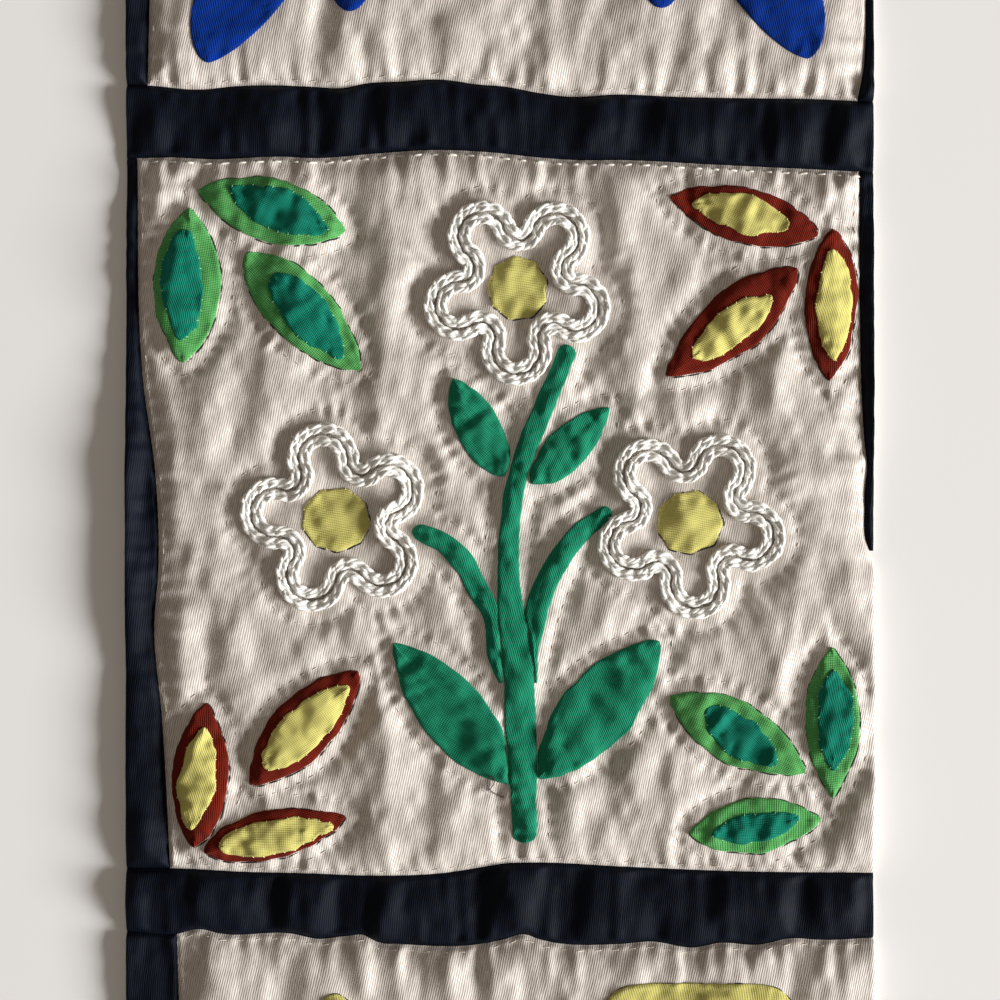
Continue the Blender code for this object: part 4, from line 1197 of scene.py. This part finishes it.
def tubes(paths, radii, sides=6, closed=False):
    """Points and faces of round threads along paths, an array of threads, points and x, y, z."""
    count, steps = paths.shape[:2]
    aside, above = sides_of(ahead_of(paths) if closed else np.gradient(paths, axis=1))
    angle = np.arange(sides) / sides * 2 * math.pi
    reach = np.broadcast_to(np.asarray(radii, float), (count, steps))[:, :, None] * np.ones(sides)
    points = (paths[:, :, None] + aside[:, :, None] * (reach * np.cos(angle))[..., None]
              + above[:, :, None] * (reach * np.sin(angle))[..., None])
    k, i, j = np.meshgrid(np.arange(count), np.arange(steps if closed else steps - 1), np.arange(sides),
                          indexing="ij")
    first, beside = k * steps * sides, (j + 1) % sides
    here, there = first + i * sides, first + (i + 1) % steps * sides
    faces = np.stack([here + j, here + beside, there + beside, there + j], -1).reshape(-1, 4).tolist()
    if not closed:
        for n in range(count):
            start, end = n * steps * sides, (n * steps + steps - 1) * sides
            faces.append(list(range(start, start + sides))[::-1])
            faces.append(list(range(end, end + sides)))
    return points.reshape(-1, 3), faces


def as_one(parts):
    """Points and faces of several meshes as those of one."""
    faces, first = [], 0
    for points, new in parts:
        faces += [[first + corner for corner in polygon] for polygon in new]
        first += len(points)
    return np.concatenate([points for points, _ in parts]), faces


def short_stitches(name, rows, length, radius, height, thread, under, random):
    """Small stitches that come up out of the cloth and go back into it."""
    q = np.linspace(-1, 1, 7)
    lengths = length * random.uniform(0.8, 1.2, len(rows))[:, None]
    angle = rows[:, 2][:, None] + random.uniform(-0.15, 0.15, len(rows))[:, None]
    x = rows[:, 0][:, None] + q * lengths / 2 * np.cos(angle)
    y = rows[:, 1][:, None] + q * lengths / 2 * np.sin(angle)
    z = under(x, y) + height * (1 - 2.2 * np.abs(q) ** 3)
    return piece_of(name, *tubes(np.stack([x, y, z], -1), radius * (1 - 0.45 * np.abs(q) ** 3)), [thread])


def slip_stitches(name, cloths, thread, random):
    """Stitches over the turned edges, from just beside the cloth to on it."""
    paths = []
    q = np.linspace(*SLIP_RUN, len(SLIP_HEIGHTS))
    for cloth in cloths:
        x, y, direction = cloth.stitches[random.random(len(cloth.stitches)) > SLIP_HIDDEN].T[:, :, None]
        angle = direction + math.pi / 2 + random.uniform(-SLIP_LEAN, SLIP_LEAN, x.shape)
        middle_x, middle_y = cloth.loop.mean(axis=0)
        inward = np.sign(np.cos(angle) * (middle_x - x) + np.sin(angle) * (middle_y - y))
        x, y = x + q * inward * np.cos(angle), y + q * inward * np.sin(angle)
        height = np.where(q < 0, cloth.under(x, y), cloth.top(x, y))
        paths.append(np.stack([x, y, height + np.array(SLIP_HEIGHTS)], -1))
    return piece_of(name, *tubes(np.concatenate(paths), SLIP_RADIUS), [thread])


def loose_thread(name, rows):
    """A cut end of thread that was left lying in a curl."""
    place = np.linspace(0, 1, 40)
    x, y = (curve_through([(row[0], row[k]) for row in rows])(place) for k in (1, 2))
    path = np.column_stack([x, y, face(x, y) + LOOSE_LOW + LOOSE_RISE * np.sin(math.pi * place)])
    return piece_of(name, *tubes(path[None], LOOSE_RADIUS), ["dark_thread"])


def marking_line(name, loops, random):
    """The pen line that the pieces were sewn to, where it shows beside them: thin and broken."""
    parts = []
    for loop in loops:
        line = evenly_along(*loop.T, INK_STEP)
        inside = np.abs(line[:, 1]) < CUT_TOP - INK_OFF_CUTS
        if not inside.all():
            first = -int(np.argmin(inside))
            line = np.roll(line, first, axis=0)[np.roll(inside, first)]
        run = np.arange(len(line)) * INK_STEP
        beyond = INK_BESIDE + INK_STRAYS * wander(run, 4.0, 7)
        x = line[:, 0] + beyond * np.cos(line[:, 2] - math.pi / 2) + INK_SHIFT[0]
        y = line[:, 1] + beyond * np.sin(line[:, 2] - math.pi / 2) + INK_SHIFT[1]
        width = INK_WIDTH + 0.08 * random.uniform(-1, 1, len(line)) + 0.28 * wander(run, 1.6, 9)
        parts.append(tubes(np.column_stack([x, y, face(x, y) - INK_SUNK])[None],
                           np.clip(width, INK_LEAST, INK_MOST)[None], 5, closed=inside.all()))
    return piece_of(name, *as_one(parts), ["marking_ink"])


def wool_outline(node, row, random):
    """Two rows of chain stitch round a flower: each loop starts inside the one before and holds it down."""
    fine = np.linspace(0, 1, 3001)
    q = np.linspace(0, 2 * math.pi, LOOP_STEPS, endpoint=False)
    along = (1 - np.cos(q)) / 2
    aside = np.sin(q) * (LOOP_FOOT + (1 - LOOP_FOOT) * np.sqrt(along))
    paths, twists = [], []
    for across in ROWS_ACROSS:
        px, py = outline_point(fine, across, row)
        run = np.concatenate([[0.0], np.cumsum(np.hypot(np.diff(px), np.diff(py)))])
        count = round(run[-1] / CHAIN_PITCH)
        start = (np.arange(count) + random.uniform(-0.10, 0.10, count)) * run[-1] / count
        place = (start[:, None] + along * LOOP_LENGTH * random.uniform(0.95, 1.05, (count, 1))) % run[-1]
        ahead, behind = (place + 0.5) % run[-1], (place - 0.5) % run[-1]
        dx = np.interp(ahead, run, px) - np.interp(behind, run, px)
        dy = np.interp(ahead, run, py) - np.interp(behind, run, py)
        size = np.hypot(dx, dy)
        side = aside * LOOP_WIDTH / 2 * random.uniform(0.9, 1.12, (count, 1))
        shift = random.uniform(-0.12, 0.12, (count, 1))
        x = np.interp(place, run, px) - dy / size * (side + shift)
        y = np.interp(place, run, py) + dx / size * (side + shift)
        z = face(x, y) + curve_through(LOOP_HEIGHTS)(along) + random.uniform(-0.08, 0.12, (count, 1))
        paths.append(np.stack([x, y, z], -1))
        twists.append(PLY_TURNS * q + random.uniform(0, 6, (count, 1)))
    paths, twists = np.concatenate(paths), np.concatenate(twists)
    plies = two_plies(paths, twists)
    radii = PLY_RADIUS * random.uniform(0.9, 1.1, (len(plies), 1)) * np.ones(len(q))
    cores = []
    for across in ROWS_ACROSS:
        x, y = outline_point(np.arange(0, 1, 1 / 180), across, row)
        cores.append(np.column_stack([x, y, face(x, y) + CORE_HEIGHT]))
    parts = [tubes(plies, radii, PLY_SIDES, closed=True), tubes(np.array(cores), CORE_RADIUS, 8, closed=True),
             wool_hairs(paths, random)]
    piece = piece_of(f"{node}_wool", *as_one(parts), ["white_wool"])
    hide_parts(node)


def two_plies(paths, twists):
    """The two plies of each loop of yarn, which wind round its middle line."""
    aside, above = sides_of(ahead_of(paths))
    around = PLY_OFFSET * (aside * np.cos(twists)[..., None] + above * np.sin(twists)[..., None])
    return np.concatenate([paths + around, paths - around])


def wool_hairs(paths, random):
    """Fine hairs that stand out of the wool."""
    flat = paths.reshape(-1, 3)
    picked = flat[random.integers(0, len(flat), len(paths) * HAIRS_EACH)]
    angle = random.uniform(0, 2 * math.pi, len(picked))
    lift = random.uniform(*HAIR_LIFTS, len(picked))
    bend = random.uniform(-HAIR_BEND, HAIR_BEND, len(picked))
    length = random.uniform(*HAIR_LENGTHS, len(picked))
    steps = []
    for q in (0.0, 0.5, 1.0):
        turn = angle + bend * q
        out = WOOL_RADIUS * 0.8 + length * q
        level_out = out * np.cos(lift)
        steps.append(picked + np.column_stack([level_out * np.cos(turn), level_out * np.sin(turn),
                                               out * np.sin(lift)]))
    return tubes(np.stack(steps, 1), HAIR_RADIUS, 3)


# The quilt.


def level(value):
    return lambda place: np.asarray(place) * 0.0 + value


def shifted(curve, by):
    return lambda place: curve(place) + by


def lay_panels():
    half = SEAM_GAP / 2
    left_cut, right_cut = level(CUT_LEFT), level(CUT_RIGHT)
    top_cut, bottom_cut = level(CUT_TOP), level(CUT_BOTTOM)
    upper, middle, lower = LEFT_SEAMS
    right_upper, right_middle = RIGHT_SEAMS

    def right_of_middle(y):
        return np.minimum(right_middle(y) - half * (y > STRIP_END - STRIP_FADE), CUT_RIGHT)

    above, below = shifted(UPPER_TOP, half), shifted(UPPER_LOW, -half)
    rows = (
        ("upper", above, top_cut, upper, shifted(right_upper, -half), ("high",), ("high", "left")),
        ("middle", shifted(LOWER_TOP, half), below, middle, right_of_middle, ("right",), ("left",)),
        ("lower", bottom_cut, shifted(LOWER_LOW, -half), lower, right_cut, ("low", "right"), ("low", "left")),
    )
    for name, low, high, left, right, block_cuts, strip_cuts in rows:
        quilted_panel(f"ground_{name}", shifted(left, half), right, low, high, "cream_sateen", block_cuts)
        quilted_panel(f"sash_left_{name}", left_cut, shifted(left, -half), low, high, "navy_cotton",
                      strip_cuts)
    quilted_panel("sash_right_upper", shifted(right_upper, half), right_cut, above, top_cut, "navy_cotton",
                  ("high", "right"))
    quilted_panel("sash_right_middle", shifted(right_middle, half), right_cut, level(STRIP_END), below,
                  "navy_cotton", ("right",))
    for name, low, high in (("upper", UPPER_LOW, UPPER_TOP), ("lower", LOWER_LOW, LOWER_TOP)):
        quilted_panel(f"sash_{name}", left_cut, right_cut, shifted(low, half), shifted(high, -half),
                      "navy_cotton", ("left", "right"))


def sew_on():
    """The leaves, the spray, the flower centres and the ends of pieces at the cut edges."""
    cloths = {}

    def sew(name, places, cloth, grain, **held):
        cloths[name] = SewnCloth(name, *places, cloth, grain, number=len(cloths), **held)

    for k, (name, row) in enumerate(CORNER_LEAVES.items()):
        green = name.startswith(("upper_left", "lower_right"))
        outer, inner = (("light_green_cotton", "teal_green_cotton") if green
                        else ("brick_red_cotton", "pale_yellow_cotton"))
        sew(f"leaf_{name}", sheet_of_leaf(row, LEAF_FULLNESS), outer, row[2] + (4, 84)[k % 2], lie=row[2])
        sew(f"inner_leaf_{name}", sheet_of_leaf(inner_row(row), INNER_FULLNESS), inner, row[2] - 12,
            under=cloths[f"leaf_{name}"].top, ragged=0.8, lie=row[2])
    for name, row in SPRAY_LEAVES.items():
        x, y = sheet_of_leaf(row, LEAF_FULLNESS)
        sew(name, (beside_stem(x, y), y), "emerald_cotton", row[2] + 20, lie=row[2], ripple=SPRAY_RIPPLE)
    for name, rows in RIBBONS.items():
        sew(name, sheet_of_ribbon(name, rows), "emerald_cotton", 75.0, ragged=0.3, lie=RIBBON_FOLDS,
            ripple=SPRAY_RIPPLE)
    for name, row in FLOWERS.items():
        sew(f"flower_centre_{name}", sheet_of_centre(row), "pale_yellow_cotton", 8.0)
    for name, row in END_PIECES.items():
        cloth = "royal_blue_cotton" if name.startswith("petal") else "pale_yellow_cotton"
        sew(name, sheet_of_end(row), cloth, 80.0, open_end=True)
    return cloths


def stitch_all(cloths, random):
    """Every stitch that shows, and the pen line beside the pieces."""
    def above(x, y):
        return face(x, y) + 0.05

    def named(*starts):
        return [cloth for name, cloth in cloths.items() if name.startswith(starts)]

    white = (EDGE_STITCHES[:, 1] > 90) & (EDGE_STITCHES[:, 1] < 100)
    made = [short_stitches(name, rows, length, radius, height, thread, above, random)
            for name, rows, length, radius, height, thread in (
                ("edge_stitches_top", EDGE_STITCHES[white], EDGE_LENGTH, 0.33, 0.30, "white_thread"),
                ("edge_stitches_others", EDGE_STITCHES[~white], EDGE_LENGTH * 0.7, 0.16, 0.04,
                 "cream_thread"),
                ("quilting_stitches", QUILTING_STITCHES, QUILTING_LENGTH, 0.13, 0.08, "quilting_thread"))]
    made.append(loose_thread("loose_thread", LOOSE_THREAD))
    for thread, group in (("green_thread", named("inner_leaf_upper_left", "inner_leaf_lower_right")),
                          ("yellow_thread", named("inner_leaf_upper_right", "inner_leaf_lower_left",
                                                  "flower_centre"))):
        made.append(slip_stitches(f"slip_stitches_{thread}", group, thread, random))
    marked = [cloth.loop for cloth in named("leaf_", "flower_centre", "yellow_piece")]
    made.append(marking_line("marking_lines", marked, random))
    return made


def set_up_light():
    """A pale floor, one large soft light low on the right and a weak warm fill."""
    floor_mesh = bpy.data.meshes.new("floor")
    corners = [(x * FLOOR_HALF, y * FLOOR_HALF, -FLOOR_BELOW)
               for x, y in ((-1, -1), (1, -1), (1, 1), (-1, 1))]
    floor_mesh.from_pydata(corners, [], [(0, 1, 2, 3)])
    floor = bpy.data.objects.new("floor", floor_mesh)
    bpy.context.scene.collection.objects.link(floor)
    pale, _, shader = new_material("pale_floor", 0.9, 0.0, 0.1)
    shader.inputs["Base Color"].default_value = linear("fdfdfd")
    floor_mesh.materials.append(pale)
    world = bpy.data.worlds.new("studio")
    bpy.context.scene.world = world
    world.use_nodes = True
    fill = world.node_tree.nodes["Background"].inputs
    fill["Color"].default_value, fill["Strength"].default_value = FILL_COLOUR, FILL_STRENGTH
    key = bpy.data.lights.new("window", "AREA")
    key.shape, (key.size, key.size_y) = "RECTANGLE", KEY_SIZE
    key.energy, key.color = KEY_POWER, KEY_COLOUR
    lamp = bpy.data.objects.new("window", key)
    azimuth, elevation = math.radians(KEY_AZIMUTH), math.radians(KEY_ELEVATION)
    level_out = math.cos(elevation)
    away = Vector((math.cos(azimuth) * level_out, math.sin(azimuth) * level_out, math.sin(elevation)))
    lamp.location = away * KEY_DISTANCE
    lamp.rotation_euler = away.to_track_quat("Z", "Y").to_euler()
    bpy.context.scene.collection.objects.link(lamp)


def set_up_camera():
    """Straight above the face, as the photograph was taken."""
    camera = bpy.data.objects.new("camera", bpy.data.cameras.new("camera"))
    camera.data.sensor_width = SENSOR
    camera.data.lens = SENSOR * CAMERA_DISTANCE / FRAME_WIDTH
    camera.location = (0, 0, CAMERA_DISTANCE + FACE_HEIGHT * MM)
    camera.data.clip_start, camera.data.clip_end = 0.01, 20.0
    bpy.context.scene.collection.objects.link(camera)
    bpy.context.scene.camera = camera


bpy.context.scene.view_settings.view_transform = "Standard"
random = np.random.default_rng(8)
lay_panels()
cloths = sew_on()
stitches = stitch_all(cloths, random)
for name, row in FLOWERS.items():
    wool_outline(f"flower_outline_{name}", row, random)
set_up_light()
set_up_camera()
